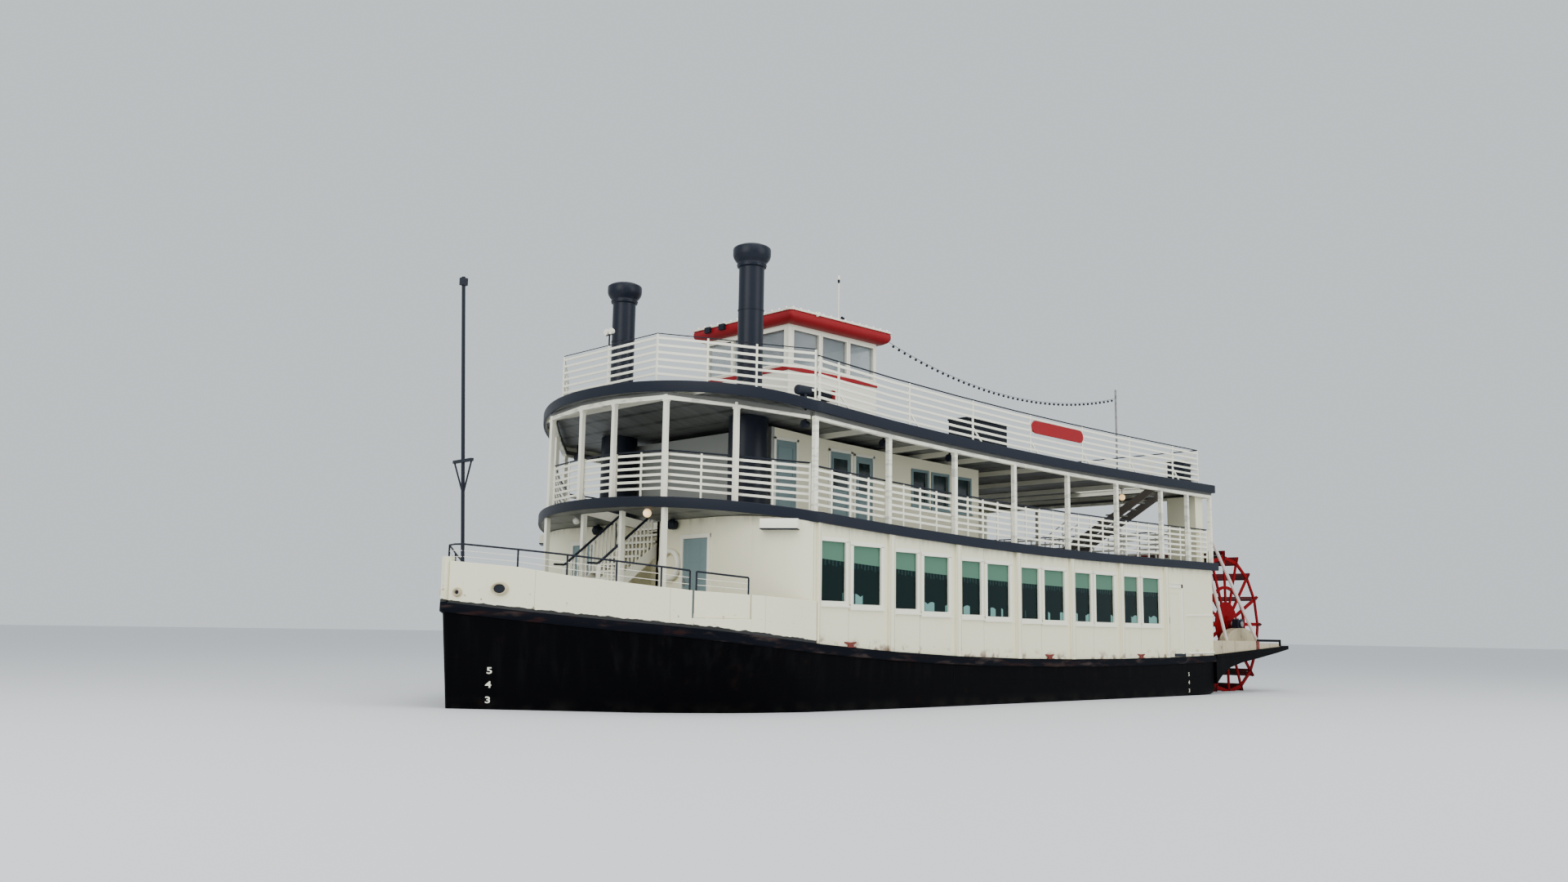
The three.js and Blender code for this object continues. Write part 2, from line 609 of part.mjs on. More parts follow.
function cabinSide() {
  const wall = box(
    CABIN.x[0] + WALL + SEAT, CABIN.x[1] - WALL - SEAT, CABIN.half - WALL, CABIN.half, 4000, 9000,
  ).intersect(promenade);
  const doorways = CABIN_DOORS.map((leaf) => {
    const [low, high] = cabinDoorZ(leaf);
    return box(leaf[0] - LEAF_GAP, leaf[1] + LEAF_GAP, 2000, 4000, low - LEAF_GAP, high + LEAF_GAP);
  });
  const windows = CABIN_WINDOWS.map((pane) => box(...pane, 2000, 4000, ...cabinWindowZ(pane)));
  const paneSlot = box(20, 2610, CABIN.half - WALL - 10, CABIN.half - GLASS_DEPTH + SEAT, 4000, 9000)
    .intersect(layer(level(deck2, 990), level(deck2, 2010)));
  return cut(wall, ...doorways, ...windows, paneSlot);
}
placePair('cabin_side', cabinSide(), WHITE);
placePair('cabin_glass', box(
  21, 2609, CABIN.half - GLASS_DEPTH - GLASS, CABIN.half - GLASS_DEPTH, 4000, 9000,
).intersect(layer(level(deck2, 991), level(deck2, 2009))), TINTED);
CABIN_DOORS.forEach(([aftX, foreX, edge], i) => {
  const hingeX = edge === 'aft' ? aftX + HINGE.inset : foreX - HINGE.inset;
  const heights = cabinDoorZ([aftX, foreX]);
  placePair(`cabin_door_${i + 1}`, leafOn(
    box(aftX, foreX, CABIN.half - 45, CABIN.half, ...heights), [hingeX, CABIN.half], heights,
  ), DOOR_BLUE);
});
place('cabin_front', box(
  CABIN.x[1] - WALL, CABIN.x[1], -CABIN.half, CABIN.half, 4000, 9000,
).intersect(promenade), WHITE);
place('cabin_aft', box(
  CABIN.x[0], CABIN.x[0] + WALL, -CABIN.half, CABIN.half, 4000, 9000,
).intersect(promenade), WHITE);

// Funnels: a wide casing between the decks, a slim shaft and a flared crown
const FUNNEL = { x: 8400, y: 2630, casing: 490, shaft: 317, top: 11280, crown: 476 };
function funnel() {
  const { x, y, shaft, top, crown } = FUNNEL;
  const casing = turned([[0, 4000], [FUNNEL.casing, 4000], [FUNNEL.casing, 9000], [0, 9000]], x, y)
    .intersect(layer(level(deck2, SEAT), level(deck3, -DECK_3_THICK - SEAT)));
  const pipe = turned([
    [0, 5500], [shaft, 5500], [shaft, top - 560], [shaft + 45, top - 520], [shaft + 45, top - 460],
    [shaft + 70, top - 400], [crown, top - 250], [crown, top - 90], [crown - 60, top - 30],
    [shaft + 20, top], [shaft - 30, top], [shaft - 30, top - 400], [0, top - 400],
  ], x, y);
  return join(casing, pipe);
}
placePair('funnel', funnel(), HULL_BLACK);

// Deck 3: plate, fascia band, cross beams and the openings for funnels and stair
const AFT_STAIR = { x: [-8200, -7360], footY: 400, topY: 4600, steps: 13 };
const WELL_3 = { x: [-8240, -7320], y: [1150, 4620] };
function deckThree() {
  const outline = prism(deckOutline(0), 0, 12000);
  const plate = outline.intersect(layer(level(deck3, -DECK_3_THICK), deck3));
  const fascia = cut(outline, prism(deckOutline(FASCIA_THICK), -10, 12010))
    .intersect(layer(level(deck3, -FASCIA_DEPTH), level(deck3, -50)));
  const beams = [10300, ...BAYS.slice(1), 2200].map((x) => box(
    x - 50, x + 50, -5100, 5100, 0, 12000,
  ).intersect(layer(level(deck3, -FASCIA_DEPTH), level(deck3, -50))).intersect(outline));
  const holes = [1, -1].map((side) => turned(
    [[0, 5000], [FUNNEL.shaft + 6, 5000], [FUNNEL.shaft + 6, 9000], [0, 9000]],
    FUNNEL.x, side * FUNNEL.y,
  ));
  const well = box(...WELL_3.x, ...WELL_3.y, 0, 12000);
  return cut(join(plate, fascia, ...beams), ...holes, well);
}
place('deck_3', deckThree(), WHITE);

// Aft stair from deck 2 to deck 3, rising to port across the deck
function aftStair() {
  const { x, footY, topY, steps } = AFT_STAIR;
  const foot = deck2(x[0]);
  const head = deck3(x[1]);
  const rise = (head - foot) / steps;
  const going = (topY - footY) / steps;
  const treads = Array.from({ length: steps - 1 }, (_, i) => box(
    x[0] + 30, x[1] - 30, footY + i * going, footY + (i + 1) * going + 30,
    foot + (i + 1) * rise - 40, foot + (i + 1) * rise,
  ));
  const stringers = [x[0], x[1] - 40].map((start) => rib([
    [footY - 60, foot - 40], [footY + 330, foot - 40], [topY - SEAT, head - 260],
    [topY - SEAT, head + 20], [footY - 60, foot + 140],
  ], start, start + 40));
  return join(treads[0], ...treads.slice(1), ...stringers).intersect(
    layer(level(deck2, SEAT), deck3),
  );
}
place('aft_stair', aftStair(), STEEL);

// Panelled lockers at the after corners of deck 2
const LOCKER = { x: [-9640, -9180], y: [3870, 4880], high: 2150 };
placePair('aft_locker', box(...LOCKER.x, ...LOCKER.y, 4000, 9000).intersect(
  layer(level(deck2, SEAT), level(deck2, LOCKER.high)),
), WHITE);

// Pilothouse on deck 3
const PILOT = {
  x: [2750, 6200], half: 1700, wall: 80, top: 9860, roof: [2420, 6440], roofHalf: 2030,
};
const AERIAL = { x: 4200, y: 1600, top: 11600 };
const PILOT_SILL = 8790;
const PILOT_HEAD = 9745;
const PILOT_DOOR = { y: [-400, 400], z: [6900, 8950] };
const pilotStorey = layer(level(deck3, SEAT), () => PILOT.top);
function pilotWall(x0, x1, y0, y1, holes) {
  return cut(box(x0, x1, y0, y1, 6000, 12000).intersect(pilotStorey), ...holes);
}
const pilotSideWindows = spaced([PILOT.x[0] + 120, 0], [PILOT.x[1] - 60, 0], 3).slice(0, 3)
  .map(([x]) => box(x, x + 980, 1000, 3000, PILOT_SILL, PILOT_HEAD));
placePair('pilothouse_side', pilotWall(
  PILOT.x[0] + PILOT.wall + SEAT, PILOT.x[1] - PILOT.wall - SEAT,
  PILOT.half - PILOT.wall, PILOT.half, pilotSideWindows,
), WHITE);
place('pilothouse_front', pilotWall(
  PILOT.x[1] - PILOT.wall, PILOT.x[1], -PILOT.half, PILOT.half,
  [-1560, -500, 560].map((y) => box(5000, 7000, y, y + 1000, PILOT_SILL, PILOT_HEAD)),
), WHITE);
place('pilothouse_aft', pilotWall(
  PILOT.x[0], PILOT.x[0] + PILOT.wall, -PILOT.half, PILOT.half, [
    box(2000, 3000, PILOT_DOOR.y[0] - LEAF_GAP, PILOT_DOOR.y[1] + LEAF_GAP,
      PILOT_DOOR.z[0] - LEAF_GAP, PILOT_DOOR.z[1] + LEAF_GAP),
    box(2000, 3000, 560, 1500, PILOT_SILL, PILOT_HEAD),
    box(2000, 3000, -1500, -560, PILOT_SILL, PILOT_HEAD),
  ],
), WHITE);
place('pilothouse_door', leafOn(box(
  PILOT.x[0], PILOT.x[0] + 45, ...PILOT_DOOR.y, ...PILOT_DOOR.z,
), [PILOT.x[0], PILOT_DOOR.y[1] - HINGE.inset], PILOT_DOOR.z), DOOR_BLUE);
function pilotGlass() {
  const inner = PILOT.wall + SEAT;
  const block = (inset, z0, z1) => box(
    PILOT.x[0] + inset, PILOT.x[1] - inset, -PILOT.half + inset, PILOT.half - inset, z0, z1,
  );
  const low = PILOT_SILL - 60;
  const high = PILOT_HEAD + 60;
  const doorCut = box(2000, 3500, -520, 520, 6000, 12000);
  return cut(block(inner, low, high), block(inner + GLASS, low - 10, high + 10), doorCut);
}
place('pilothouse_glass', pilotGlass(), TINTED);
function pilotRoof() {
  const { roof, roofHalf, top } = PILOT;
  const round = 260;
  const rounded = (x0, x1, half, r) => {
    const shape = new THREE.Shape();
    shape.absarc(x1 - r, half - r, r, 0, Math.PI / 2);
    shape.absarc(x0 + r, half - r, r, Math.PI / 2, Math.PI);
    shape.absarc(x0 + r, -half + r, r, Math.PI, Math.PI * 1.5);
    shape.absarc(x1 - r, -half + r, r, Math.PI * 1.5, Math.PI * 2);
    return shape.getPoints(4).map((p) => [p.x, p.y]);
  };
  const eave = prism(rounded(...roof, roofHalf, round), top + SEAT, top + 340);
  const crown = prism(
    rounded(roof[0] + 250, roof[1] - 250, roofHalf - 250, round), top + 330, top + 400,
  );
  const aerial = bar([AERIAL.x, AERIAL.y, top + 350], [AERIAL.x, AERIAL.y, AERIAL.top], 15, 6);
  return join(eave, crown, aerial);
}
place('pilothouse_roof', pilotRoof(), RED);

// Stern wheel: plates with spokes and rings, sixteen boards and one shaft
const WHEEL = {
  plate: 40, hub: 1000, inner: [1320, 1420], outer: [2300, 2420], spoke: 90, phase: 0.6,
};
const WHEEL_PLATES = [-4050, 0, 4050];
function wheelPlate(y) {
  const segments = BUCKETS * 2;
  const circle = (radius, path = new THREE.Shape()) => {
    path.setFromPoints(Array.from({ length: segments }, (_, i) => {
      const angle = (i * Math.PI * 2) / segments;
      return new THREE.Vector2(radius * Math.cos(angle), radius * Math.sin(angle));
    }));
    return path;
  };
  const shape = circle(WHEEL.outer[1]);
  [[WHEEL.inner[1], WHEEL.outer[0]], [WHEEL.hub, WHEEL.inner[0]]].forEach(([low, high]) => {
    for (let i = 0; i < BUCKETS; i += 1) {
      const middle = ((i + 0.5) * Math.PI * 2) / BUCKETS;
      const half = Math.PI / BUCKETS;
      const edge = (radius) => half - WHEEL.spoke / 2 / radius;
      const corner = (radius, side) => {
        const angle = middle + side * edge(radius);
        return new THREE.Vector2(radius * Math.cos(angle), radius * Math.sin(angle));
      };
      shape.holes.push(new THREE.Path([
        corner(low, -1), corner(high, -1), corner(high, 1), corner(low, 1),
      ]));
    }
  });
  const plate = new THREE.ExtrudeGeometry(shape, { depth: WHEEL.plate, bevelEnabled: false });
  return solid(plate.rotateX(Math.PI / 2).translate(0, y + WHEEL.plate / 2, 0));
}
function wheelBody() {
  const plates = WHEEL_PLATES.map((y) => wheelPlate(y));
  const shaft = bar([0, -5000, 0], [0, 5000, 0], SHAFT, 32);
  const boards = Array.from({ length: BUCKETS }, (_, i) => {
    const angle = (i * Math.PI * 2) / BUCKETS;
    const board = new THREE.BoxGeometry(320, 2 * WHEEL_HALF, 60);
    board.translate(WHEEL_RADIUS - 160, 0, 0).rotateY(-angle);
    return solid(board);
  });
  return join(plates[0], ...plates.slice(1), shaft, ...boards);
}
const wheel = place('wheel', wheelBody(), RED);
wheel.position.set(WHEEL_X, 0, WHEEL_Z);
wheel.rotation.y = THREE.MathUtils.degToRad(WHEEL.phase);

// Fantail arm on each side, with the wheel's bearing and its stay tubes
function fantail() {
  const foreX = TRANSOM_X - SEAT;
  const deckEnd = box(DECK_STERN_X - SEAT, -9000, 0, 6000, 3900, 6000);
  const beam = slab([
    [foreX, 340], [foreX, 1235], [-12800, 1290], [-15000, 1430], [-15000, 1250],
    [-12600, 1040], [-10600, 810],
  ], ARM_IN, ARM_OUT);
  const trough = slab([
    [foreX, 1200], [foreX, 1670], [-12800, 1670], [-13300, 1640], [-14400, 1420], [-14400, 1250],
  ], ARM_IN + 20, ARM_OUT - 40);
  const casing = bar([WHEEL_X, ARM_IN + 60, 1600], [WHEEL_X, ARM_OUT - 60, 1600], 640, 24)
    .intersect(box(-14000, -11000, 4000, 6000, 1500, 2060));
  const bearing = box(WHEEL_X - 260, WHEEL_X + 260, ARM_IN + 120, ARM_IN + 650, 1990, WHEEL_Z + 210);
  const stays = [
    bar([-9960, 5000, 4950], [-12950, 5000, 1640], 55),
    bar([-9720, 5000, 4020], [-10760, 5000, 1640], 45),
  ];
  const bore = bar([WHEEL_X, 4000, WHEEL_Z], [WHEEL_X, 6000, WHEEL_Z], SHAFT_BORE, 32);
  return cut(join(beam, trough, casing, bearing, ...stays), bore).intersect(
    cut(box(-16000, foreX, 4000, 6000, 0, 6000), deckEnd),
  );
}
placePair('fantail', fantail(), WHITE);

// Rudders under the raked stern
function rudder() {
  const blade = box(...RUDDER.chord, RUDDER.y - 20, RUDDER.y + 20, RUDDER.low, RUDDER.high);
  const stock = bar(
    [RUDDER.x, RUDDER.y, RUDDER.high - 100], [RUDDER.x, RUDDER.y, RUDDER.head], RUDDER.stock, 16,
  );
  return join(blade, stock);
}
placePair('rudder', rudder(), HULL_BLACK);

// Jackstaff at the stem, with a spreader and two stays
function jackstaff() {
  const deckZ = mainDeck(14500) + FOREDECK_RISE;
  const top = [14880, 0, 9670];
  const foot = [14480, 0, deckZ];
  const at = (z) => foot[0] + ((top[0] - foot[0]) * (z - foot[2])) / (top[2] - foot[2]);
  const pole = bar([foot[0], 0, foot[2] - 60], top, 42, 10);
  const spreader = box(at(5460) - 35, at(5460) + 35, -400, 400, 5420, 5490);
  const stays = [1, -1].map((side) => bar([at(5460), side * 370, 5440], [at(4700), 0, 4700], 20, 6));
  const lamp = box(top[0] - 90, top[0] + 70, -55, 55, 9470, 9640);
  const shoe = box(foot[0] - 90, foot[0] + 90, -90, 90, deckZ - 60, deckZ + 120);
  return join(pole, spreader, ...stays, lamp, shoe).intersect(
    layer(level(mainDeck, FOREDECK_RISE + SEAT), () => 12000),
  );
}
place('jackstaff', jackstaff(), TRIM_BLACK);

// Signal mast behind the after railing of deck 3
const SIGNAL_MAST = { x: -9150, y: 2050, radius: 35, top: 10200, shoe: 100 };
function signalMast() {
  const { x, y, radius, top, shoe } = SIGNAL_MAST;
  const deckZ = deck3(x);
  return join(
    bar([x, y, deckZ - 50], [x, y, top], radius, 8),
    box(x - shoe, x + shoe, y - shoe, y + shoe, deckZ - 50, deckZ + 60),
  ).intersect(layer(level(deck3, SEAT), () => 12000));
}
place('signal_mast', signalMast(), STEEL);

export default model;
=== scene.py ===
"""The looks of a stern-wheel paddle steamer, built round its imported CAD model.

Metres throughout: X runs forward to the bow, Y to port and Z up, and the water is at z = 0.
"""

import math

import bmesh
import bpy
from bpy.props import FloatProperty, FloatVectorProperty, IntProperty, PointerProperty
from mathutils import Matrix, Vector


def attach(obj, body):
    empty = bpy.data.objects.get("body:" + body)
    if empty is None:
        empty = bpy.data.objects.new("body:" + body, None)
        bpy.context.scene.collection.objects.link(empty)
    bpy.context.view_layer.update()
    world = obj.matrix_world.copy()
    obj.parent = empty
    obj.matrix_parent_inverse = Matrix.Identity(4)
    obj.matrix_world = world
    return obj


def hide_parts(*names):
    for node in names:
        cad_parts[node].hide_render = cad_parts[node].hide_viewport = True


bl_info = {
    "name": "Paddle steamer looks",
    "version": (1, 0, 0),
    "blender": (4, 5, 0),
    "location": "View3D > Sidebar > Steamer",
    "description": "Dresses the CAD model of a stern-wheel paddle steamer",
    "category": "Object",
}

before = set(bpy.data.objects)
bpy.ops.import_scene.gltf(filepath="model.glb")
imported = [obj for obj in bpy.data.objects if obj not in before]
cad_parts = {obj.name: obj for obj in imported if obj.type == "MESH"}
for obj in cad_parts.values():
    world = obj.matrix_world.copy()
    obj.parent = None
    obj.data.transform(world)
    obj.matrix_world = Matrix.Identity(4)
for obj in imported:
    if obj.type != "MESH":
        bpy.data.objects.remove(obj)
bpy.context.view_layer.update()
SIDES = (("port", 1), ("starboard", -1))

# The hull and the decks
DECK_2_THICK = 0.23
FASCIA_DEPTH = 0.24
STOREY = 2.54
HALF_BEAM = 5.2
STEM_X = 15.0
RUB_HEIGHT = 0.21
FOREDECK_RISE = 0.2
BOW_PLAN = [(12.0, 3.98), (13.27, 2.3), (13.95, 1.4), (STEM_X, 0.06)]
SHOULDER = (9.55, 2.13, 3.07)
BAYS = (8.51, 5.97, 3.43, 0.89, -1.64, -4.18, -6.72, -8.32)
HOUSE_FRONT_X = 9.7
HOUSE_HALF = 5.12
HOUSE_CORNER = (1.2, 2.2)
DECK_STERN_X = -9.9
DECK_SHOULDER_X = 8.43
DECK_NOSE_X = 11.23
DECK_BENDS = (1.3, 2.26)
FORE_RISE_2 = [(8.6, 0), (11.544, 0.245)]
FORE_RISE_3 = [(5.97, 0), (8.6, 0.02), (9.48, 0.195), (10.3, 0.315), (11.544, 0.455)]
FORE_POSTS = [(11.0, 0.67), (10.76, 2.36), (9.73, 3.68)]
FORE_RAIL_3 = [(10.76, 1.95), (10.01, 2.93), (9.3, 3.87), (8.53, 5.054)]
BULWARK_TOP = [
    (8.5, 2.46), (10.4, 2.55), (11.5, 2.61), (12.0, 2.68), (13.27, 2.91), (13.95, 3.08),
    (15.0, 3.22),
]
BOW_RAIL = [
    (8.5, 2.85), (10.4, 2.91), (11.5, 3.02), (12.0, 3.11), (13.27, 3.35), (13.95, 3.46),
    (15.0, 3.62),
]
GATE = (10.42, 11.5)
GATE_JAMB = 0.035
WHEEL_AT = Vector((-12.6, 0.0, 2.26))


def along(rows, x):
    """The value at x of a line through (x, value) rows that run forward."""
    for (xa, a), (xb, b) in zip(rows, rows[1:]):
        if x <= xb:
            return a + (b - a) * max(x - xa, 0) / (xb - xa)
    return rows[-1][1]


def main_deck(x):
    d = x + 2.5
    return 1.14 + (0.0021 * d**2 + 0.0000965 * d**3 if d > 0 else 0.0019 * d**2)


def sheer(x):
    """The curve that both upper decks follow."""
    d = x + 3.5
    return 4.15 + (0.0023 if d > 0 else 0.0008) * d**2


def deck_2(x):
    return sheer(x) + along(FORE_RISE_2, x)


def deck_3(x):
    return sheer(x) + STOREY + along(FORE_RISE_3, x)


def hull_half(x):
    """Half the hull's width at the rub band."""
    if x >= BOW_PLAN[0][0]:
        return along(BOW_PLAN, x)
    centre_x, centre_y, radius = SHOULDER
    return centre_y + math.sqrt(radius**2 - max(x - centre_x, 0) ** 2)


def spread(start, end, step):
    """Evenly spaced numbers from start to end, about a step apart."""
    count = max(1, round(abs(end - start) / step))
    return [start + (end - start) * i / count for i in range(count + 1)]


def hull_line(inset, start, end, step=0.2):
    """Plan points along the port side of the hull, from x = start to x = end."""
    xs = sorted(set(spread(start, end, step)), reverse=start > end)
    return [Vector((x, hull_half(x) - inset)) for x in xs]


def deck_line():
    """Plan points of an upper deck's port edge, from its nose to its stern."""
    nose, side = (2 / bend for bend in DECK_BENDS)
    reach = DECK_NOSE_X - DECK_SHOULDER_X
    points = [
        Vector((DECK_SHOULDER_X + reach * math.cos(a) ** nose, HALF_BEAM * math.sin(a) ** side))
        for a in (math.radians(min(4 * i, 90)) for i in range(24))
    ]
    return points + [Vector((x, HALF_BEAM)) for x in spread(DECK_SHOULDER_X, DECK_STERN_X, 0.6)[1:]]


def raised(plan, height):
    """Plan points lifted to height(x)."""
    return [Vector((p.x, p.y, height(p.x))) for p in plan]


def mirrored(points):
    """The starboard image of a line, in the opposite order."""
    return [Vector((p.x, -p.y, *p[2:])) for p in reversed(list(points))]


def whole(points):
    """A port line that starts on the centre line, joined to its starboard image."""
    return mirrored(points)[:-1] + list(points)


def mitres(path, looped=False):
    """For each point of a line, the rightward step that keeps an even distance from the line."""
    steps = []
    last = len(path) - 1
    for i, point in enumerate(path):
        into = point - path[i - 1] if i or looped else None
        out = path[(i + 1) % len(path)] - point if i < last or looped else into
        into = out if into is None else into
        into, out = into.to_2d().normalized(), out.to_2d().normalized()
        run = (into + out).normalized()
        steps.append(Vector((run.y, -run.x)) / max(run.dot(out), 0.4))
    return steps


# ---------------------------------------------------------------- properties


def tint(name, description, default):
    return FloatVectorProperty(
        name=name, description=description, default=default, subtype="COLOR", size=3, min=0, max=1
    )


def length(name, description, default):
    return FloatProperty(
        name=name, description=description, default=default, min=0.001, unit="LENGTH"
    )


class SteamerPaints(bpy.types.PropertyGroup):
    """Colours of the paints, the glass and the lamps."""

    hull: tint("Hull black", "Paint of the hull", (0.0012, 0.0012, 0.0018))
    trim: tint("Trim black", "Paint of deck edges, handrails and funnels", (0.009, 0.012, 0.021))
    house: tint("House white", "Paint of the houses and bulwark", (0.86, 0.82, 0.59))
    rails: tint("Rail white", "Paint of the railings and posts", (0.9, 0.87, 0.72))
    deck: tint("Deck grey", "Coating of the decks", (0.2, 0.2, 0.2))
    red: tint("Red", "Paint of the wheel and the pilothouse roof", (0.27, 0.006, 0.011))
    door: tint("Door blue", "Paint of the doors and their frames", (0.17, 0.245, 0.25))
    rust: tint("Rust", "Rust and bare red lead", (0.13, 0.035, 0.015))
    film: tint("Window film", "Light upper band of the saloon windows", (0.09, 0.195, 0.135))
    glass: tint("Dark glass", "Glass with a dark room behind it", (0.004, 0.012, 0.012))
    lamp: tint("Lamp glow", "Light of the globe lamps", (1.0, 0.6, 0.2))


class SteamerSizes(bpy.types.PropertyGroup):
    """Sizes of the fittings."""

    rail_depth: length("Rail depth", "Height of a flat railing bar", 0.058)
    rail_thickness: length("Rail thickness", "Thickness of a flat railing bar", 0.028)
    rail_count: IntProperty(
        name="Rails", description="Flat bars in a railing", default=6, min=2, max=10
    )
    picket: length("Picket", "Width of an upright of the railings", 0.042)
    handrail: length("Handrail radius", "Radius of the black handrails", 0.021)
    frame_width: length("Window frame", "Width of the frames round the windows", 0.075)
    rounding: length("Edge rounding", "Radius of the painted edges", 0.004)
    bolt: length("Bolt radius", "Radius of the wheel's bolt heads", 0.03)
    plank: length("Plank thickness", "Thickness of the paddle planks", 0.05)


def paints():
    return bpy.context.scene.steamer_paints


def sizes():
    return bpy.context.scene.steamer_sizes


# ------------------------------------------------------------ node building


class Value:
    """A node value that adds its Math nodes when it is used in an expression."""

    def __init__(self, sheet, socket):
        self.sheet = sheet
        self.socket = socket

    def math(self, operation, *terms):
        return self.sheet.node("ShaderNodeMath", {"operation": operation}, dict(enumerate(terms)))

    def __add__(self, other):
        return self.math("ADD", self, other)

    def __sub__(self, other):
        return self.math("SUBTRACT", self, other)

    def __rsub__(self, other):
        return self.math("SUBTRACT", other, self)

    def __mul__(self, other):
        return self.math("MULTIPLY", self, other)

    def __mod__(self, other):
        return self.math("FLOORED_MODULO", self, other)

    def __abs__(self):
        return self.math("ABSOLUTE", self)

    __radd__ = __add__
    __rmul__ = __mul__

    def above(self, edge):
        return self.math("GREATER_THAN", self, edge)

    def below(self, edge):
        return self.math("LESS_THAN", self, edge)

    def most(self, other):
        return self.math("MAXIMUM", self, other)

    def ramp(self, low, high):
        """0 at low and 1 at high, with a smooth rise between."""
        settings = {"interpolation_type": "SMOOTHSTEP"}
        sockets = {"Value": self, "From Min": low, "From Max": high}
        return self.sheet.node("ShaderNodeMapRange", settings, sockets)


class NodeSheet:
    """A node tree, and the one method that adds nodes to it."""

    def __init__(self, tree):
        self.tree = tree

    def node(self, kind, settings=None, sockets=None, output=0):
        made = self.tree.nodes.new(kind)
        for setting, value in (settings or {}).items():
            setattr(made, setting, value)
        for key, value in (sockets or {}).items():
            if isinstance(value, (Value, list)):
                for link in value if isinstance(value, list) else [value]:
                    self.tree.links.new(link.socket, made.inputs[key])
            else:
                made.inputs[key].default_value = value
        return Value(self, made.outputs[output]) if made.outputs else None

    def outputs(self, value):
        return [Value(self, socket) for socket in value.socket.node.outputs]


class Finish(NodeSheet):
    """A paint, metal or glass that reads Object coordinates."""

    def __init__(self, name):
        self.material = bpy.data.materials.new(name)
        self.material.use_nodes = True
        super().__init__(self.material.node_tree)
        self.tree.nodes.clear()
        self.place = self.node("ShaderNodeTexCoord", output="Object")
        self.x, self.y, self.z = self.parts(self.place)

    def parts(self, vector):
        return self.outputs(self.node("ShaderNodeSeparateXYZ", sockets={0: vector}))

    def noise(self, scale, detail=3.0, stretch=(1, 1, 1)):
        where = self.node("ShaderNodeMapping", sockets={"Vector": self.place, "Scale": stretch})
        sockets = {"Vector": where, "Scale": scale, "Detail": detail}
        return self.node("ShaderNodeTexNoise", sockets=sockets)

    def mix(self, share, first, second):
        ends = [c if isinstance(c, Value) else (*c, 1) for c in (first, second)]
        sockets = {0: share, 6: ends[0], 7: ends[1]}
        return self.node("ShaderNodeMix", {"data_type": "RGBA"}, sockets, output=2)

    def rusty(self, share, shade):
        return self.mix(share, shade, paints().rust)

    def facing(self, way):
        """1 on the faces that look up (way 1) or down (way -1)."""
        rise = self.parts(self.node("ShaderNodeNewGeometry", output="True Normal"))[2]
        return (rise * way).above(0.6)

    def surface(self, colour, roughness, height=None, depth=0.002, **constants):
        sockets = {"Base Color": colour, "Roughness": roughness}
        sockets.update({name.replace("_", " "): value for name, value in constants.items()})
        if height is not None:
            bump = {"Strength": 1.0, "Distance": depth, "Height": height}
            sockets["Normal"] = self.node("ShaderNodeBump", sockets=bump)
        shader = self.node("ShaderNodeBsdfPrincipled", sockets=sockets)
        self.node("ShaderNodeOutputMaterial", sockets={0: shader})
        return self.material


def sheer_value(x, datum, kink=3.5, fore=0.0023, aft=0.0008, cubic=0.0):
    """A deck's height as node maths."""
    d = x + kink
    ahead = d.above(0)
    height = datum + d * d * (aft + ahead * (fore - aft))
    return height + ahead * d * d * d * cubic if cubic else height


def main_deck_value(x):
    return sheer_value(x, 1.14, 2.5, 0.0021, 0.0019, 0.0000965)


def deck_2_value(x):
    return sheer_value(x, 4.15) + (x - 8.6).most(0) * 0.0832


def deck_3_value(x):
    return sheer_value(x, 4.15 + STOREY) + (x - 8.6).most(0) * 0.172


# The colour of grime, also used for the painted shade and shadow lines on the house.
SOIL_AND_SHADE = (0.11, 0.085, 0.06)
# Painted shade: the dark grey of the undersides of the upper decks.
CEILING_PAINTED_SHADE = (0.12, 0.125, 0.118)


def weathered(
    name, colour, roughness=0.45, grime=0.3, streaks=0.3, rust=0.0, marks=None, top=None,
    **constants
):
    """Painted steel or wood with soft patches of grime, runs down its sides and rust spots."""
    finish = Finish(name)
    patches = finish.noise(0.6, 4)
    speckle = finish.noise(11, 5)
    runs = finish.noise(1.0, 5, stretch=(5.5, 5.5, 0.3))
    soiled = patches.ramp(0.45, 0.8) * grime + runs.ramp(0.52, 0.78) * streaks
    height = speckle * 0.5 + patches
    base = colour if top is None else finish.mix(finish.facing(1), colour, top)
    shade = finish.mix((soiled * (speckle * 0.6 + 0.7)).ramp(0.0, 1.0), base, SOIL_AND_SHADE)
    if rust:
        spots = finish.noise(3.1, 7).ramp(0.6, 0.72) * runs.ramp(0.4, 0.7) * rust
        shade = finish.rusty(spots, shade)
    if marks is not None:
        shade, height = marks(finish, shade, height, runs)
    gloss = roughness + soiled * 0.25 + (speckle - 0.5) * 0.12
    return finish.surface(shade, gloss, height, **constants)


def house_marks(finish, shade, height, runs):
    """Seams, painted shadow lines beside the battens and down the after door's aft edge, painted
    shade under the deck edge streaked by the runs, and rust at the foot.
    """
    side = abs(finish.y).above(5.1)
    seam = abs((8.51 - finish.x) % 2.54 - 1.09).below(0.005) * side
    # Painted shadow: dark lines along both edges of the battens and down the after door's aft edge.
    batten_shadow = abs(abs((9.78 - finish.x) % 2.54 - 1.27) - 0.07).below(0.011) * finish.x.above(-7.0)
    jamb_shadow = abs(finish.x + 7.695).below(0.018) * abs(finish.z - 2.35).below(1.0)
    foot = (finish.z - main_deck_value(finish.x)).ramp(0.3, 0.0)
    # Painted shade: the wall darkens towards the underside of the deck above, broken up by the
    # runs.
    head = (deck_2_value(finish.x) - finish.z).ramp(0.5, 0.18)
    spots = finish.noise(4.2, 6).ramp(0.5, 0.66)
    for share in (
        seam * 0.55, (batten_shadow * 0.4 + jamb_shadow * 0.75) * side, head * runs.ramp(0.3, 0.75) * 0.45,
    ):
        shade = finish.mix(share, shade, SOIL_AND_SHADE)
    return finish.rusty(foot * spots * 0.8, shade), height - seam * 2.0


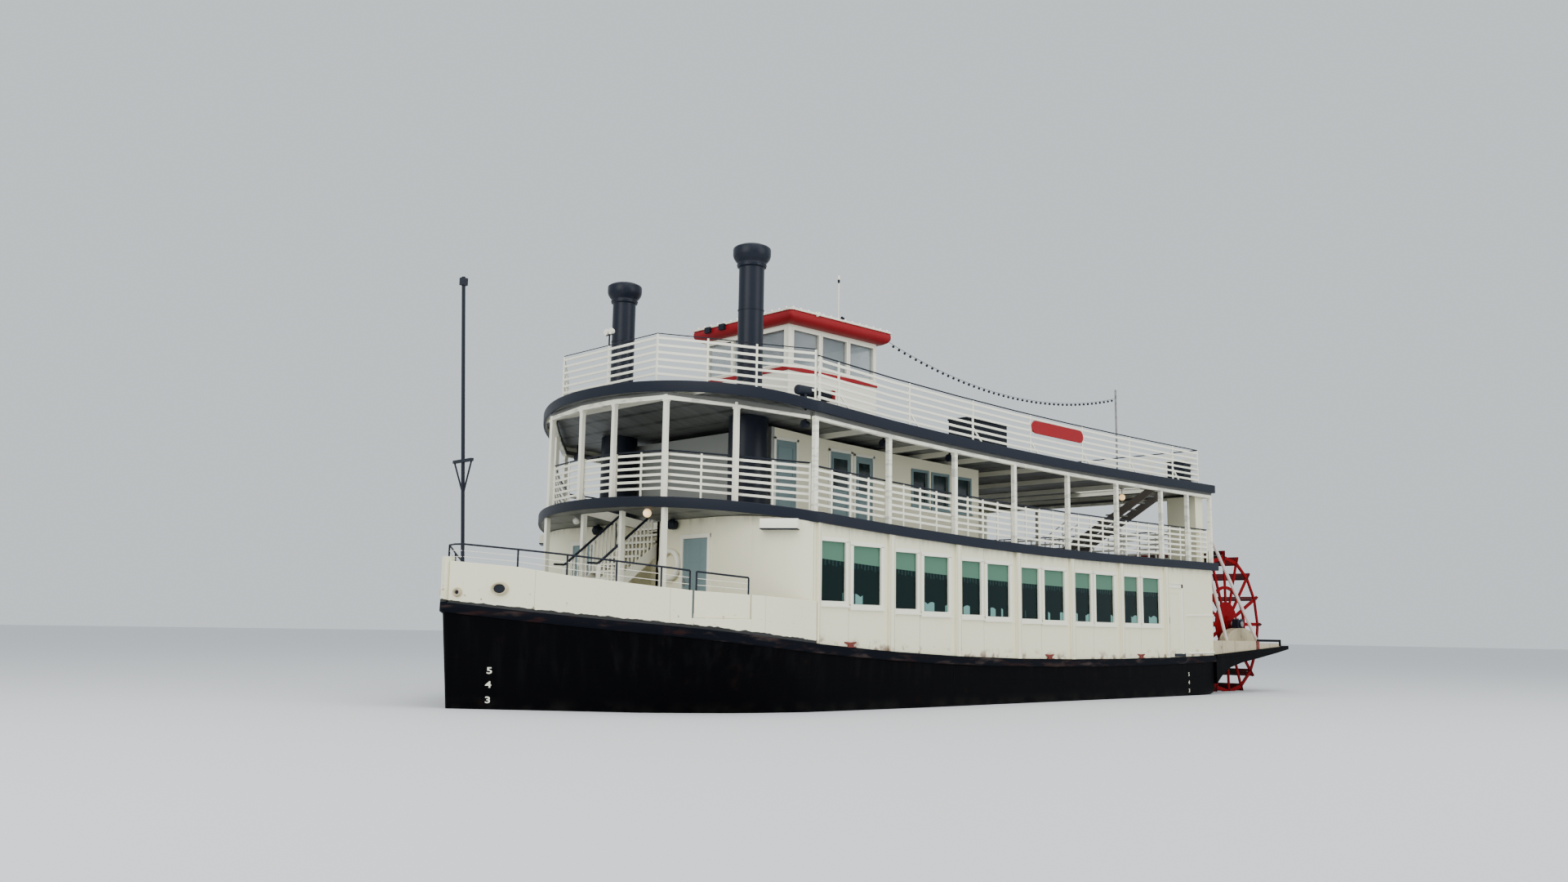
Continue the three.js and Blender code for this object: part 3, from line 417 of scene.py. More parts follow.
def bulwark_marks(finish, shade, height, runs):
    """The ragged upper edge of the black paint, plate seams and a few chips."""
    edge = finish.noise(5, 6, stretch=(1, 1, 0.2))
    lift = finish.z - main_deck_value(finish.x)
    seam = abs(finish.x % 1.83 - 0.9).below(0.004)
    chips = finish.noise(7.5, 5).ramp(0.66, 0.69) * lift.ramp(0.6, 0.1)
    shade = finish.rusty(chips * 0.7, finish.mix(seam * 0.35, shade, SOIL_AND_SHADE))
    return finish.mix(lift.below(edge * 0.1 + 0.02), shade, paints().hull), height - seam


def hull_marks(finish, shade, height, runs):
    """Plate laps, dust in broad runs and scum at the water."""
    lap = abs((finish.x + finish.z * 0.02) % 2.4 - 1.2).below(0.012)
    strake = abs(finish.z - main_deck_value(finish.x) * 0.45 - 0.05).below(0.012)
    scum = finish.z.ramp(0.32, 0.02) * finish.noise(2.4, 6).ramp(0.35, 0.7)
    dust = runs.ramp(0.45, 0.8) * finish.z.ramp(0.2, 1.2)
    shade = finish.mix(dust * 0.03, shade, (0.1, 0.1, 0.11))
    return finish.mix(scum * 0.3, shade, (0.02, 0.019, 0.016)), height + lap * 1.5 + strake * 1.5


def rub_marks(finish, shade, height, runs):
    """Scuffed and rusty edges of the rub band."""
    scuffs = finish.noise(3.0, 7, stretch=(0.5, 0.5, 2.5)).ramp(0.5, 0.68)
    worn = finish.noise(0.7, 3).ramp(0.4, 0.7)
    shade = finish.rusty(scuffs * 0.12, shade)
    return finish.mix(scuffs * worn * 0.1, shade, (0.3, 0.29, 0.27)), height + scuffs


def peeling_marks(finish, shade, height, runs):
    """Flaked paint along the header beams, and painted shade over their upper part, which lies in
    the deck's shade.
    """
    flakes = finish.noise(2.2, 8, stretch=(1.2, 1.2, 5)).ramp(0.52, 0.6)
    # Painted shade: near-black over the top of the beams, next to the deck above.
    painted_deck_shade = (finish.z - deck_3_value(finish.x)).ramp(-0.335, -0.32)
    shade = finish.mix(flakes * 0.35, shade, (0.2, 0.2, 0.21))
    return finish.mix(painted_deck_shade * 0.95, shade, (0.05, 0.052, 0.05)), height - flakes * 0.6


def ceiling_marks(finish, shade, height, runs):
    """Painted shade on the undersides of the upper decks: a dark grey ground with near-black
    stripes of painted shadow for the beams, lighter worn patches and dark plank seams.
    """
    # Painted shadow: near-black stripes for the beams across the ceiling.
    beams = abs(finish.x % 0.62 - 0.31).below(0.06)
    seams = abs(finish.y % 0.3 - 0.15).below(0.012)
    worn = finish.noise(0.8, 5, stretch=(0.5, 2.5, 1)).ramp(0.42, 0.62)
    grey = CEILING_PAINTED_SHADE
    for share, colour in (
        (beams * 0.8, (0.02, 0.021, 0.02)), (worn * 0.5, (0.2, 0.205, 0.195)),
        (seams * 0.6, (0.03, 0.03, 0.03)),
    ):
        grey = finish.mix(share, grey, colour)
    # Faces that look down take the painted shade instead of the white paint.
    return finish.mix(finish.facing(-1), shade, grey), height


def saloon_glass():
    """Tinted panes with a light film along the top, a dark, draped room behind and painted light
    from the far windows along their foot.
    """
    finish = Finish("saloon_window_glass")
    drop = deck_2_value(finish.x) - finish.z
    film = drop.below(1.03)
    folds = finish.node(
        "ShaderNodeTexWave", {"bands_direction": "X"},
        {"Vector": finish.place, "Scale": 2.6, "Distortion": 1.5, "Detail": 2.0}, output="Fac",
    )
    wave = finish.x * 9.0
    swag = abs(wave.math("SINE", wave))
    pelmet = drop.below(1.12 + swag * 0.05) * folds.ramp(0.35, 0.9)
    # Painted light: bright patches along the foot of the panes stand for light seen through the
    # room from the far windows.
    far_window_light = drop.above(1.8 - swag * 0.06) * finish.noise(1.9, 2, (1, 0, 0)).ramp(0.52, 0.54)
    shade = finish.mix(pelmet * 0.35, paints().glass, (0.03, 0.075, 0.07))
    shade = finish.mix(far_window_light * 0.7, shade, (0.2, 0.42, 0.38))
    shade = finish.mix(film * 0.95, shade, paints().film)
    return finish.surface(shade, 0.1 + film * 0.2, IOR=1.4, Specular_IOR_Level=0.14)


def dark_glass(name):
    finish = Finish(name)
    haze = finish.noise(1.3, 3)
    shade = finish.mix(haze.ramp(0.35, 0.75) * 0.5, paints().glass, (0.09, 0.12, 0.13))
    return finish.surface(shade, 0.07 + haze * 0.06, IOR=1.45)


def clear_glass(name):
    finish = Finish(name)
    haze = finish.noise(0.9, 4)
    shade = finish.mix(haze.ramp(0.3, 0.8), (0.32, 0.38, 0.4), (0.6, 0.65, 0.66))
    return finish.surface(shade, 0.06 + haze * 0.08, IOR=1.45, Alpha=0.38)


def glowing(name, colour, strength):
    finish = Finish(name)
    rim = finish.noise(6, 2)
    shade = finish.mix(rim * 0.3, (0.95, 0.9, 0.8), colour)
    glow = {"Emission_Color": (*colour, 1), "Emission_Strength": strength}
    return finish.surface(shade, 0.3 + rim * 0.1, **glow)


def timber(name, colour, wet):
    """Painted planks: long grain, worn to dark wood where the water scours them."""
    finish = Finish(name)
    grain = finish.noise(2.0, 7, stretch=(9, 0.6, 9))
    worn = finish.noise(1.4, 5)
    shade = finish.mix(worn.ramp(0.42, 0.62) * wet, colour, (0.012, 0.008, 0.008))
    shade = finish.mix(grain.ramp(0.5, 0.8) * 0.5, shade, (0.03, 0.012, 0.01))
    return finish.surface(shade, 0.4 + grain * 0.3, grain + worn, 0.004, Specular_IOR_Level=0.1)


def bare_steel(name, colour, metallic=0.7, roughness=0.45):
    finish = Finish(name)
    wear = finish.noise(5, 6)
    shade = finish.mix(wear.ramp(0.4, 0.75), colour, [c * 0.45 for c in colour])
    shade = finish.rusty(finish.noise(8, 5).ramp(0.6, 0.72) * 0.6, shade)
    return finish.surface(shade, roughness + wear * 0.25, wear, 0.001, Metallic=metallic)


def floor_paint():
    finish = Finish("studio_floor")
    cloud = finish.noise(0.08, 3)
    shade = finish.mix(cloud * 0.3, (0.72, 0.73, 0.74), (0.78, 0.78, 0.79))
    return finish.surface(shade, 0.75 + cloud * 0.1)


def make_finishes():
    p = paints()
    dull = {"Specular IOR Level": 0.03}
    dim = {"Specular IOR Level": 0.2}
    return {
        "hull": weathered("hull_black", p.hull, 0.5, 0.012, 0.016, 0.04, hull_marks, **dull),
        "rub": weathered(
            "rub_band_black", (0.004, 0.005, 0.008), 0.55, 0.04, 0.03, 0.06, rub_marks, **dull
        ),
        "deck": weathered("deck_coating", p.deck, 0.75, 0.35, 0.0, 0.1),
        "house": weathered("house_white", p.house, 0.5, 0.1, 0.14, 0.0, house_marks),
        "cabin": weathered("cabin_white", p.house, 0.5, 0.12, 0.12),
        # Painted shade: white paint darkened to grey for the shaded cabin front; the after stair's
        # stringers take the same grey.
        "shaded": weathered("cabin_front_grey", (0.33, 0.34, 0.31), 0.55, 0.2, 0.15),
        "bulwark": weathered("bulwark_white", p.house, 0.5, 0.08, 0.08, 0.0, bulwark_marks),
        "white": weathered("trim_white", p.rails, 0.42, 0.1, 0.1, 0.06),
        # Deck grey on the faces that look up and painted shade on those that look down.
        "decked": weathered("deck_white", p.rails, 0.5, 0.16, 0.12, 0.06, ceiling_marks, p.deck),
        # Header mouldings and posts: flaked white paint with a band of painted shade along the top.
        "peeling": weathered("header_white", p.rails, 0.55, 0.2, 0.15, 0.1, peeling_marks),
        "black": weathered("trim_black", p.trim, 0.45, 0.04, 0.04, 0.05, **dim),
        "funnel": weathered("funnel_black", p.trim, 0.36, 0.04, 0.06, 0.06, **dim),
        "red": weathered("red_paint", p.red, 0.42, 0.14, 0.22, 0.06, **dim),
        "wheel": weathered("wheel_red", (0.2, 0.003, 0.006), 0.6, 0.12, 0.2, 0.06, **dull),
        "door": weathered("door_blue", p.door, 0.45, 0.1, 0.14, 0.03),
        "cream": weathered("trough_cream", (0.5, 0.43, 0.28), 0.55, 0.4, 0.6, 0.9),
        "stay": weathered("stay_white", (0.7, 0.6, 0.56), 0.5, 0.3, 0.3, 0.3),
        "stair": weathered("stair_brown", (0.19, 0.165, 0.145), 0.6, 0.3, 0.2, 0.1),
        "plank": timber("paddle_plank", (0.1, 0.005, 0.007), 0.95),
        "steel": bare_steel("worn_steel", (0.3, 0.29, 0.28)),
        "lead": bare_steel("red_lead", (0.2, 0.035, 0.025), 0.1, 0.6),
        "saloon": saloon_glass(),
        "dark": dark_glass("door_glass"),
        "clear": clear_glass("pilothouse_panes"),
        "lamp": glowing("globe_glow", p.lamp, 1.3),
        "bulb": glowing("clear_bulb", (0.9, 0.88, 0.82), 0.3),
        "plate": weathered("globe_white", (0.85, 0.83, 0.74), 0.3, 0.05, 0.0),
    }


FINISH = {}


# ------------------------------------------------------------ shape building

TURNS = {
    "X": Matrix.Rotation(math.pi / 2, 3, "Y"), "Y": Matrix.Rotation(-math.pi / 2, 3, "X"),
    "Z": Matrix.Identity(3),
}


def around(count):
    """Evenly spaced angles of a full turn."""
    return [2 * math.pi * k / count for k in range(count)]


def polar(radius, angle, height=0.0):
    return Vector((radius * math.cos(angle), radius * math.sin(angle), height))


def ball(radius, rings=10):
    """The profile of a sphere, with small flat poles."""
    steps = [math.pi * (i + 0.15) / (rings - 0.7) for i in range(rings)]
    return [(radius * math.sin(a), -radius * math.cos(a)) for a in steps]


def on(side, *values):
    return sorted(value * side for value in values)


def flipped(points, side):
    return [Vector((p[0], p[1] * side, *p[2:])) for p in points]


class Form:
    """The faces of one piece, gathered from blocks, sweeps, lofts and turned shapes."""

    def __init__(self, name, *finishes):
        self.name = name
        self.finishes = finishes
        self.mesh = bmesh.new()

    def loft(self, rings, finish=0, looped=False):
        """A closed skin over rings of equally many points; looped joins the last to the first."""
        rows = [[self.mesh.verts.new(point) for point in ring] for ring in rings]
        for low, high in [*zip(rows, rows[1:]), *([(rows[-1], rows[0])] if looped else [])]:
            for a, b, c, d in zip(low, low[1:] + low[:1], high[1:] + high[:1], high):
                self.mesh.faces.new((a, b, c, d)).material_index = finish
        for row in () if looped else (rows[0], rows[-1]):
            self.mesh.faces.new(row).material_index = finish
        return self

    def block(self, xs, ys, zs, finish=0):
        """A block between two values on each axis."""
        corners = ((ys[0], zs[0]), (ys[1], zs[0]), (ys[1], zs[1]), (ys[0], zs[1]))
        return self.loft([[(x, *corner) for corner in corners] for x in xs], finish)

    def slab(self, profile, ys, finish=0):
        """A plate with an (x, z) outline between two values of y."""
        return self.loft([[Vector((x, y, z)) for x, z in profile] for y in ys], finish)

    def bar(self, a, b, width, depth, finish=0, up=(0, 0, 1)):
        """A straight rectangular bar from a to b; depth is measured along up."""
        run = (Vector(b) - Vector(a)).normalized()
        side = run.cross(Vector(up)).normalized() * width / 2
        rise = side.cross(run).normalized() * depth / 2
        steps = (-side - rise, side - rise, side + rise, -side + rise)
        return self.loft([[Vector(end) + step for step in steps] for end in (a, b)], finish)

    def sweep(self, path, profile, looped=False):
        """An upright profile of (outward, up) points carried along a line, outward to its right."""
        rings = [
            [Vector((p.x + step.x * a, p.y + step.y * a, p.z + b)) for a, b in profile]
            for p, step in zip(path, mitres(path, looped))
        ]
        return self.loft(rings, looped=looped)

    def wall(self, plan, thickness, low, high):
        """An upright wall along plan points between two heights, with eased top edges."""
        half = thickness / 2
        ease = min(0.008, half * 0.5)
        rings = []
        for point, step in zip(plan, mitres(plan)):
            foot, top = (level(point.x) if callable(level) else level for level in (low, high))
            section = (
                (1, foot), (-1, foot), (-1, top - ease), (-0.6, top), (0.6, top), (1, top - ease),
            )
            rings.append([Vector((*(point + step * half * a), z)) for a, z in section])
        return self.loft(rings)

    def turned(self, profile, centre, axis="Z", sides=48, finish=0):
        """A solid of revolution from (radius, height) points; both ends are closed flat."""
        rings = [
            [Vector(centre) + TURNS[axis] @ polar(radius, a, height) for a in around(sides)]
            for radius, height in profile
        ]
        return self.loft(rings, finish)

    def hoop(self, section, centre, axis="Y", sides=64):
        """A closed hoop whose section is (radius, height) points."""
        rings = [
            [Vector(centre) + TURNS[axis] @ polar(radius, a, height) for radius, height in section]
            for a in around(sides)
        ]
        return self.loft(rings, looped=True)

    def tube(self, points, radius, sides=10, finish=0):
        """A round bar through 3-D points."""
        points = [Vector(p) for p in points]
        ends = [points[0], *points, points[-1]]
        side = (points[1] - points[0]).orthogonal()
        rings = []
        for before, point, after in zip(ends, points, ends[2:]):
            run = (after - before).normalized()
            side = (side - run * side.dot(run)).normalized()
            other = run.cross(side)
            rings.append([
                point + (side * math.cos(a) + other * math.sin(a)) * radius for a in around(sides)
            ])
        return self.loft(rings, finish)

    def frame(self, across, through, zs, width, finish=0, flat="Y"):
        """Four bars round a rectangle that faces along one axis."""
        middle = (zs[0] + width, zs[1] - width)
        for side, heights in (
            (across, (zs[0], middle[0])), (across, (middle[1], zs[1])),
            ((across[0], across[0] + width), middle), ((across[1] - width, across[1]), middle),
        ):
            self.block(*((side, through) if flat == "Y" else (through, side)), heights, finish)
        return self

    def to_mesh(self, smooth=35):
        bmesh.ops.recalc_face_normals(self.mesh, faces=self.mesh.faces)
        mesh = bpy.data.meshes.new(self.name)
        self.mesh.to_mesh(mesh)
        self.mesh.free()
        for name in self.finishes:
            mesh.materials.append(FINISH[name])
        return smoothed(mesh, smooth)

    def settle(self, body="vessel", smooth=35, **settling):
        """The finished piece, riding on its body."""
        return settled(self.name, self.to_mesh(smooth), self.finishes[0], body, **settling)


def smoothed(mesh, angle):
    mesh.shade_smooth()
    mesh.set_sharp_from_angle(angle=math.radians(angle))
    return mesh


def settled(name, mesh, finish, body="vessel", replaces=(), slot="", rounding=None):
    """A piece on its body; rounding True gives the usual radius. The slot is not used."""
    piece = linked(name, mesh)
    if rounding:
        edge = piece.modifiers.new("edge_rounding", "BEVEL")
        edge.width = sizes().rounding if rounding is True else rounding
        edge.segments = 2
        edge.limit_method = "ANGLE"
        edge.angle_limit = math.radians(40)
    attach(piece, body)
    if replaces:
        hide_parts(*replaces)
    return piece


def linked(name, data):
    made = bpy.data.objects.new(name, data)
    bpy.context.scene.collection.objects.link(made)
    return made


# ------------------------------------------------------------ geometry nodes


def upward(sheet, height):
    return sheet.node("ShaderNodeCombineXYZ", sockets={"Z": height})


def stored(sheet, kind, name):
    """An attribute of the source mesh."""
    settings = {"data_type": kind}
    return sheet.node("GeometryNodeInputNamedAttribute", settings, {"Name": name}, "Attribute")


def swept(sheet, line, section):
    sockets = {"Curve": line, "Profile Curve": section, "Fill Caps": True}
    return sheet.node("GeometryNodeCurveToMesh", sockets=sockets)


def railing_nodes(sheet, given):
    """Flat bars at even levels over a line, with uprights at the points that are marked."""
    line = sheet.node("GeometryNodeMeshToCurve", sockets={"Mesh": given["Geometry"]})
    line = sheet.node("GeometryNodeSetCurveNormal", {"mode": "Z_UP"}, {"Curve": line})
    section = sheet.node(
        "GeometryNodeCurvePrimitiveQuadrilateral",
        sockets={"Width": given["Thickness"], "Height": given["Depth"]},
    )
    levels = sheet.node("GeometryNodeMeshLine", sockets={
        "Count": given["Rails"], "Start Location": upward(sheet, given["Lowest"]),
        "Offset": upward(sheet, given["Step"]),
    })
    rails = sheet.node(
        "GeometryNodeInstanceOnPoints",
        sockets={"Points": levels, "Instance": swept(sheet, line, section)},
    )
    size = sheet.node("ShaderNodeCombineXYZ", sockets={
        "X": given["Picket"], "Y": given["Picket"] * 0.8, "Z": given["Height"],
    })
    upright = sheet.node("GeometryNodeSetPosition", sockets={
        "Geometry": sheet.node("GeometryNodeMeshCube", sockets={"Size": size}),
        "Offset": upward(sheet, given["Height"] * 0.5),
    })
    uprights = sheet.node("GeometryNodeInstanceOnPoints", sockets={
        "Points": given["Geometry"], "Selection": stored(sheet, "FLOAT", "upright"),
        "Instance": upright, "Rotation": stored(sheet, "FLOAT_VECTOR", "turn"),
    })
    return sheet.node("GeometryNodeJoinGeometry", sockets={0: [rails, uprights]})


def tube_nodes(sheet, given):
    """Round bars along lines."""
    line = sheet.node("GeometryNodeMeshToCurve", sockets={"Mesh": given["Geometry"]})
    section = sheet.node(
        "GeometryNodeCurvePrimitiveCircle",
        sockets={"Resolution": given["Sides"], "Radius": given["Radius"]},
    )
    return swept(sheet, line, section)


def copies_nodes(sheet, given):
    """Copies of a pattern at points that carry a turn."""
    pattern = sheet.node(
        "GeometryNodeObjectInfo", {"transform_space": "ORIGINAL"},
        {"Object": given["Pattern"], "As Instance": True}, "Geometry",
    )
    return sheet.node("GeometryNodeInstanceOnPoints", sockets={
        "Points": given["Geometry"], "Instance": pattern,
        "Rotation": stored(sheet, "FLOAT_VECTOR", "turn"),
    })


TREES = {}
INPUTS = {
    railing_nodes: {
        "Lowest": "Float", "Step": "Float", "Thickness": "Float", "Depth": "Float",
        "Picket": "Float", "Height": "Float", "Rails": "Int",
    },
    tube_nodes: {"Radius": "Float", "Sides": "Int"},
    copies_nodes: {"Pattern": "Object"},
}


def grown_tree(build):
    """A Geometry Nodes tree with named inputs, made once; it ends in its material."""
    if build in TREES:
        return TREES[build]
    tree = bpy.data.node_groups.new(build.__name__, "GeometryNodeTree")
    keys = {}
    for label, kind in {"Geometry": "Geometry", **INPUTS[build], "Material": "Material"}.items():
        socket = tree.interface.new_socket(label, in_out="INPUT", socket_type="NodeSocket" + kind)
        keys[label] = socket.identifier
    tree.interface.new_socket("Geometry", in_out="OUTPUT", socket_type="NodeSocketGeometry")
    sheet = NodeSheet(tree)
    given = {each.socket.name: each for each in sheet.outputs(sheet.node("NodeGroupInput"))}
    real = sheet.node("GeometryNodeRealizeInstances", sockets={"Geometry": build(sheet, given)})
    coat = {"Geometry": real, "Material": given["Material"]}
    coated = sheet.node("GeometryNodeSetMaterial", sockets=coat)
    sheet.node("NodeGroupOutput", sockets={0: coated})
    TREES[build] = (tree, keys)
    return TREES[build]


def grow(name, source, build, finish, values, smooth=35, **settling):
    """A piece grown by a node tree from a source mesh, kept as a plain mesh."""
    group, keys = grown_tree(build)
    maker = linked(name + "_maker", source)
    growth = maker.modifiers.new("growth", "NODES")
    growth.node_group = group
    for label, value in {**values, "Material": FINISH[finish]}.items():
        growth[keys[label]] = value
    maker.update_tag()
    grown = maker.evaluated_get(bpy.context.evaluated_depsgraph_get())
    mesh = bpy.data.meshes.new_from_object(grown)
    maker.modifiers.remove(growth)
    bpy.data.objects.remove(maker)
    if not mesh.polygons:
        raise RuntimeError(name + " has no faces")
    mesh.name = name
    return settled(name, smoothed(mesh, smooth), finish, **settling)


def store(mesh, kind, name, field, numbers):
    mesh.attributes.new(name, kind, "POINT").data.foreach_set(field, numbers)


def strands(*lines):
    """A mesh of edges along lines."""
    mesh = bpy.data.meshes.new("strands")
    edges = []
    points = []
    for line in lines:
        edges += [(len(points) + i, len(points) + i + 1) for i in range(len(line) - 1)]
        points += line
    mesh.from_pydata(points, edges, [])
    return mesh


def tubes(name, lines, radius, finish, sides=8, **settling):
    values = {"Radius": radius, "Sides": sides}
    return grow(name, strands(*lines), tube_nodes, finish, values, **settling)


def copies(name, pattern, places, turns=None, **settling):
    """Copies of a form at places, each with its own turn."""
    mesh = strands(*([place] for place in places))
    turns = turns or [(0, 0, 0)] * len(places)
    store(mesh, "FLOAT_VECTOR", "turn", "vector", [number for row in turns for number in row])
    model = linked(pattern.name, pattern.to_mesh())
    values = {"Pattern": model}
    piece = grow(name, mesh, copies_nodes, pattern.finishes[0], values, **settling)
    bpy.data.objects.remove(model)
    return piece


def dress(finish, *nodes):
    """Gives CAD nodes their material."""
    for node in nodes:
        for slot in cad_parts[node].material_slots:
            slot.link = "DATA"
            slot.material = FINISH[finish]


def pair(name):
    return [name + "_" + side for side, _ in SIDES]


# ---------------------------------------------------------------- operators


class STEAMER_OT_hull(bpy.types.Operator):
    """Builds the shell and the rub band, and finishes the foredeck and the rudders"""

    bl_idname = "steamer.hull"
    bl_label = "Hull"

    KEEL = [(-9.6, -0.05), (-5.5, -0.85), (STEM_X, -0.85)]
    KEEL_HALF = [
        (-9.6, 4.7), (5.0, 4.7), (8.6, 4.2), (10.3, 3.3), (12.0, 2.1), (13.27, 1.05), (13.95, 0.52),
    ]
    BILGE = [
        (-9.6, 0.15), (-5.5, -0.42), (5.0, -0.42), (8.6, -0.38), (10.3, -0.3), (12.0, -0.2),
        (13.27, -0.1), (13.95, -0.1),
    ]
    BILGE_HALF = [
        (-9.6, 5.13), (5.0, 5.13), (8.6, 4.9), (10.3, 4.25), (12.0, 3.15), (13.27, 1.7),
        (13.95, 0.95),
    ]

    def section(self, x):
        """Half a cross-section, from the keel up to the rub band, on the port side."""
        keel = Vector((x, along(self.KEEL_HALF, x), along(self.KEEL, x)))
        bilge = Vector((x, along(self.BILGE_HALF, x), along(self.BILGE, x)))
        top = Vector((x, hull_half(x) - 0.07, main_deck(x) - RUB_HEIGHT))
        return self.rounded(keel, bilge, top)

    def rounded(self, keel, bilge, top):
        spread_out, drop = (bilge.y - keel.y) * 0.35, (keel.z - bilge.z) * 0.35
        corner = (keel + bilge) / 2 + Vector((0, spread_out, drop))
        turn = [keel.lerp(corner, t).lerp(corner.lerp(bilge, t), t) for t in (0.25, 0.5, 0.75)]
        return [keel, *turn, bilge, *(bilge.lerp(top, t) for t in (0.33, 0.66)), top]

    def execute(self, context):
        shell = Form("hull_shell", "hull")
        xs = [*spread(-9.6, -5.5, 1.4), *spread(-3.5, 5.0, 2.2), *spread(5.6, 12.0, 0.32)]
        halves = [self.section(x) for x in [*xs, 12.6, 13.27, 13.95]]
        head = (14.93, 0.04, main_deck(STEM_X) - RUB_HEIGHT)
        stem = map(Vector, ((14.45, 0.03, -0.85), (14.74, 0.03, -0.1), head))
        halves.append(self.rounded(*stem))
        shell.loft([mirrored(half) + half for half in halves])
        for _, side in SIDES:
            shell.turned([(0.12, -0.23), (0.12, 0.1)], (-9.2, 2.2 * side, 0), sides=32)
        shell.settle(replaces=["hull"], smooth=25)

        band = Form("deck_and_rub_band", "rub")
        rings = []
        for x in (
            *spread(-9.65, 8.6, 1.0), *spread(9.0, 12.0, 0.15), 12.6, 13.27, 13.95, 14.98, STEM_X,
        ):
            half, top = hull_half(x), main_deck(x)
            ease, low = min(0.018, half * 0.3), top - RUB_HEIGHT
            inner = half - ease
            corners = ((inner, low), (half, low + ease), (half, top - ease), (inner, top))
            port = [Vector((x, *corner)) for corner in corners]
            rings.append(port + mirrored(port))
        band.loft(rings)
        band.settle(replaces=["main_deck"])
        dress("deck", "foredeck")
        dress("lead", *pair("rudder"))
        return {"FINISHED"}


class STEAMER_OT_bulwark(bpy.types.Operator):
    """Builds the bulwark, its pipe rail and the boarding gates"""

    bl_idname = "steamer.bulwark"
    bl_label = "Bulwark and gates"

    def rail(self, name, points, posts, body="vessel"):
        """A black pipe on posts, with two wires below it."""
        def dropped(p, share):
            return p.lerp(Vector((p.x, p.y, along(BULWARK_TOP, p.x))), share)
        feet = [[Vector((p.x, p.y, along(BULWARK_TOP, p.x) - 0.05)), p] for p in posts]
        tubes(name + "_pipe", [points, *feet], sizes().handrail, "black", 12, body=body, slot=None)
        wires = [[dropped(p, share) for p in points] for share in (0.36, 0.7)]
        tubes(name + "_wires", wires, 0.006, "white", 6, body=body, slot=None)

    def execute(self, context):
        plate = Form("bulwark_plating", "bulwark")
        kerb = main_deck(GATE[1]) + 0.21
        fore, aft = GATE[1] + GATE_JAMB, GATE[0] - GATE_JAMB

        def foot(x):
            return main_deck(x) + 0.0005

        def top(x):
            return along(BULWARK_TOP, x)

        for _, side in SIDES:
            bow = hull_line(0.055, fore, 13.95, 0.25) + [Vector((14.88, 0.11))]
            for plan, height in (
                (hull_line(0.055, 8.52, aft), top), (hull_line(0.055, aft, fore), kerb), (bow, top),
            ):
                plate.wall(flipped(plan, side), 0.05, foot, height)
            for x in (8.62, 9.5, 10.3):
                y = (hull_half(x) - 0.115) * side
                ends = (x, y, main_deck(x) + 0.21), (x, y, top(x) - 0.03)
                plate.bar(*ends, 0.05, 0.05, up=(1, 0, 0))
        plate.block((14.76, 14.99), (-0.075, 0.075), (main_deck(STEM_X), 3.3))
        plate.settle(replaces=["bulwark"], rounding=True)

        for side_name, side in SIDES:
            def level_with(x, y=None):
                half = hull_half(x) - 0.055 if y is None else y
                return Vector((x, half * side, along(BOW_RAIL, x)))
            run = [level_with(x) for x in spread(fore + 0.045, 13.95, 0.3)]
            stem = level_with(14.7, 0.3)
            posts = [level_with(x) for x in (fore + 0.045, 12.0, 12.6, 13.27, 13.95)]
            self.rail("bow_rail_" + side_name, [*run, stem, level_with(14.74, 0)], [*posts, stem])

            ends = [level_with(x).to_2d() for x in (GATE[1], GATE[0])]
            gate = "gate_" + side_name
            leaf = Form(gate + "_leaf", "bulwark")
            leaf.wall(ends, 0.05, kerb + 0.006, top)
            leaf.turned([(0.012, kerb + 0.0003), (0.012, kerb + 0.1)], (*ends[0], 0), sides=12)
            leaf.settle(gate, replaces=[gate], rounding=True)
            posts = [
                Vector((*spot, along(BOW_RAIL, spot.x)))
                for spot in (ends[0].lerp(ends[1], share) for share in (0.03, 0.97))
            ]
            self.rail(gate + "_rail", posts, posts, gate)
        return {"FINISHED"}


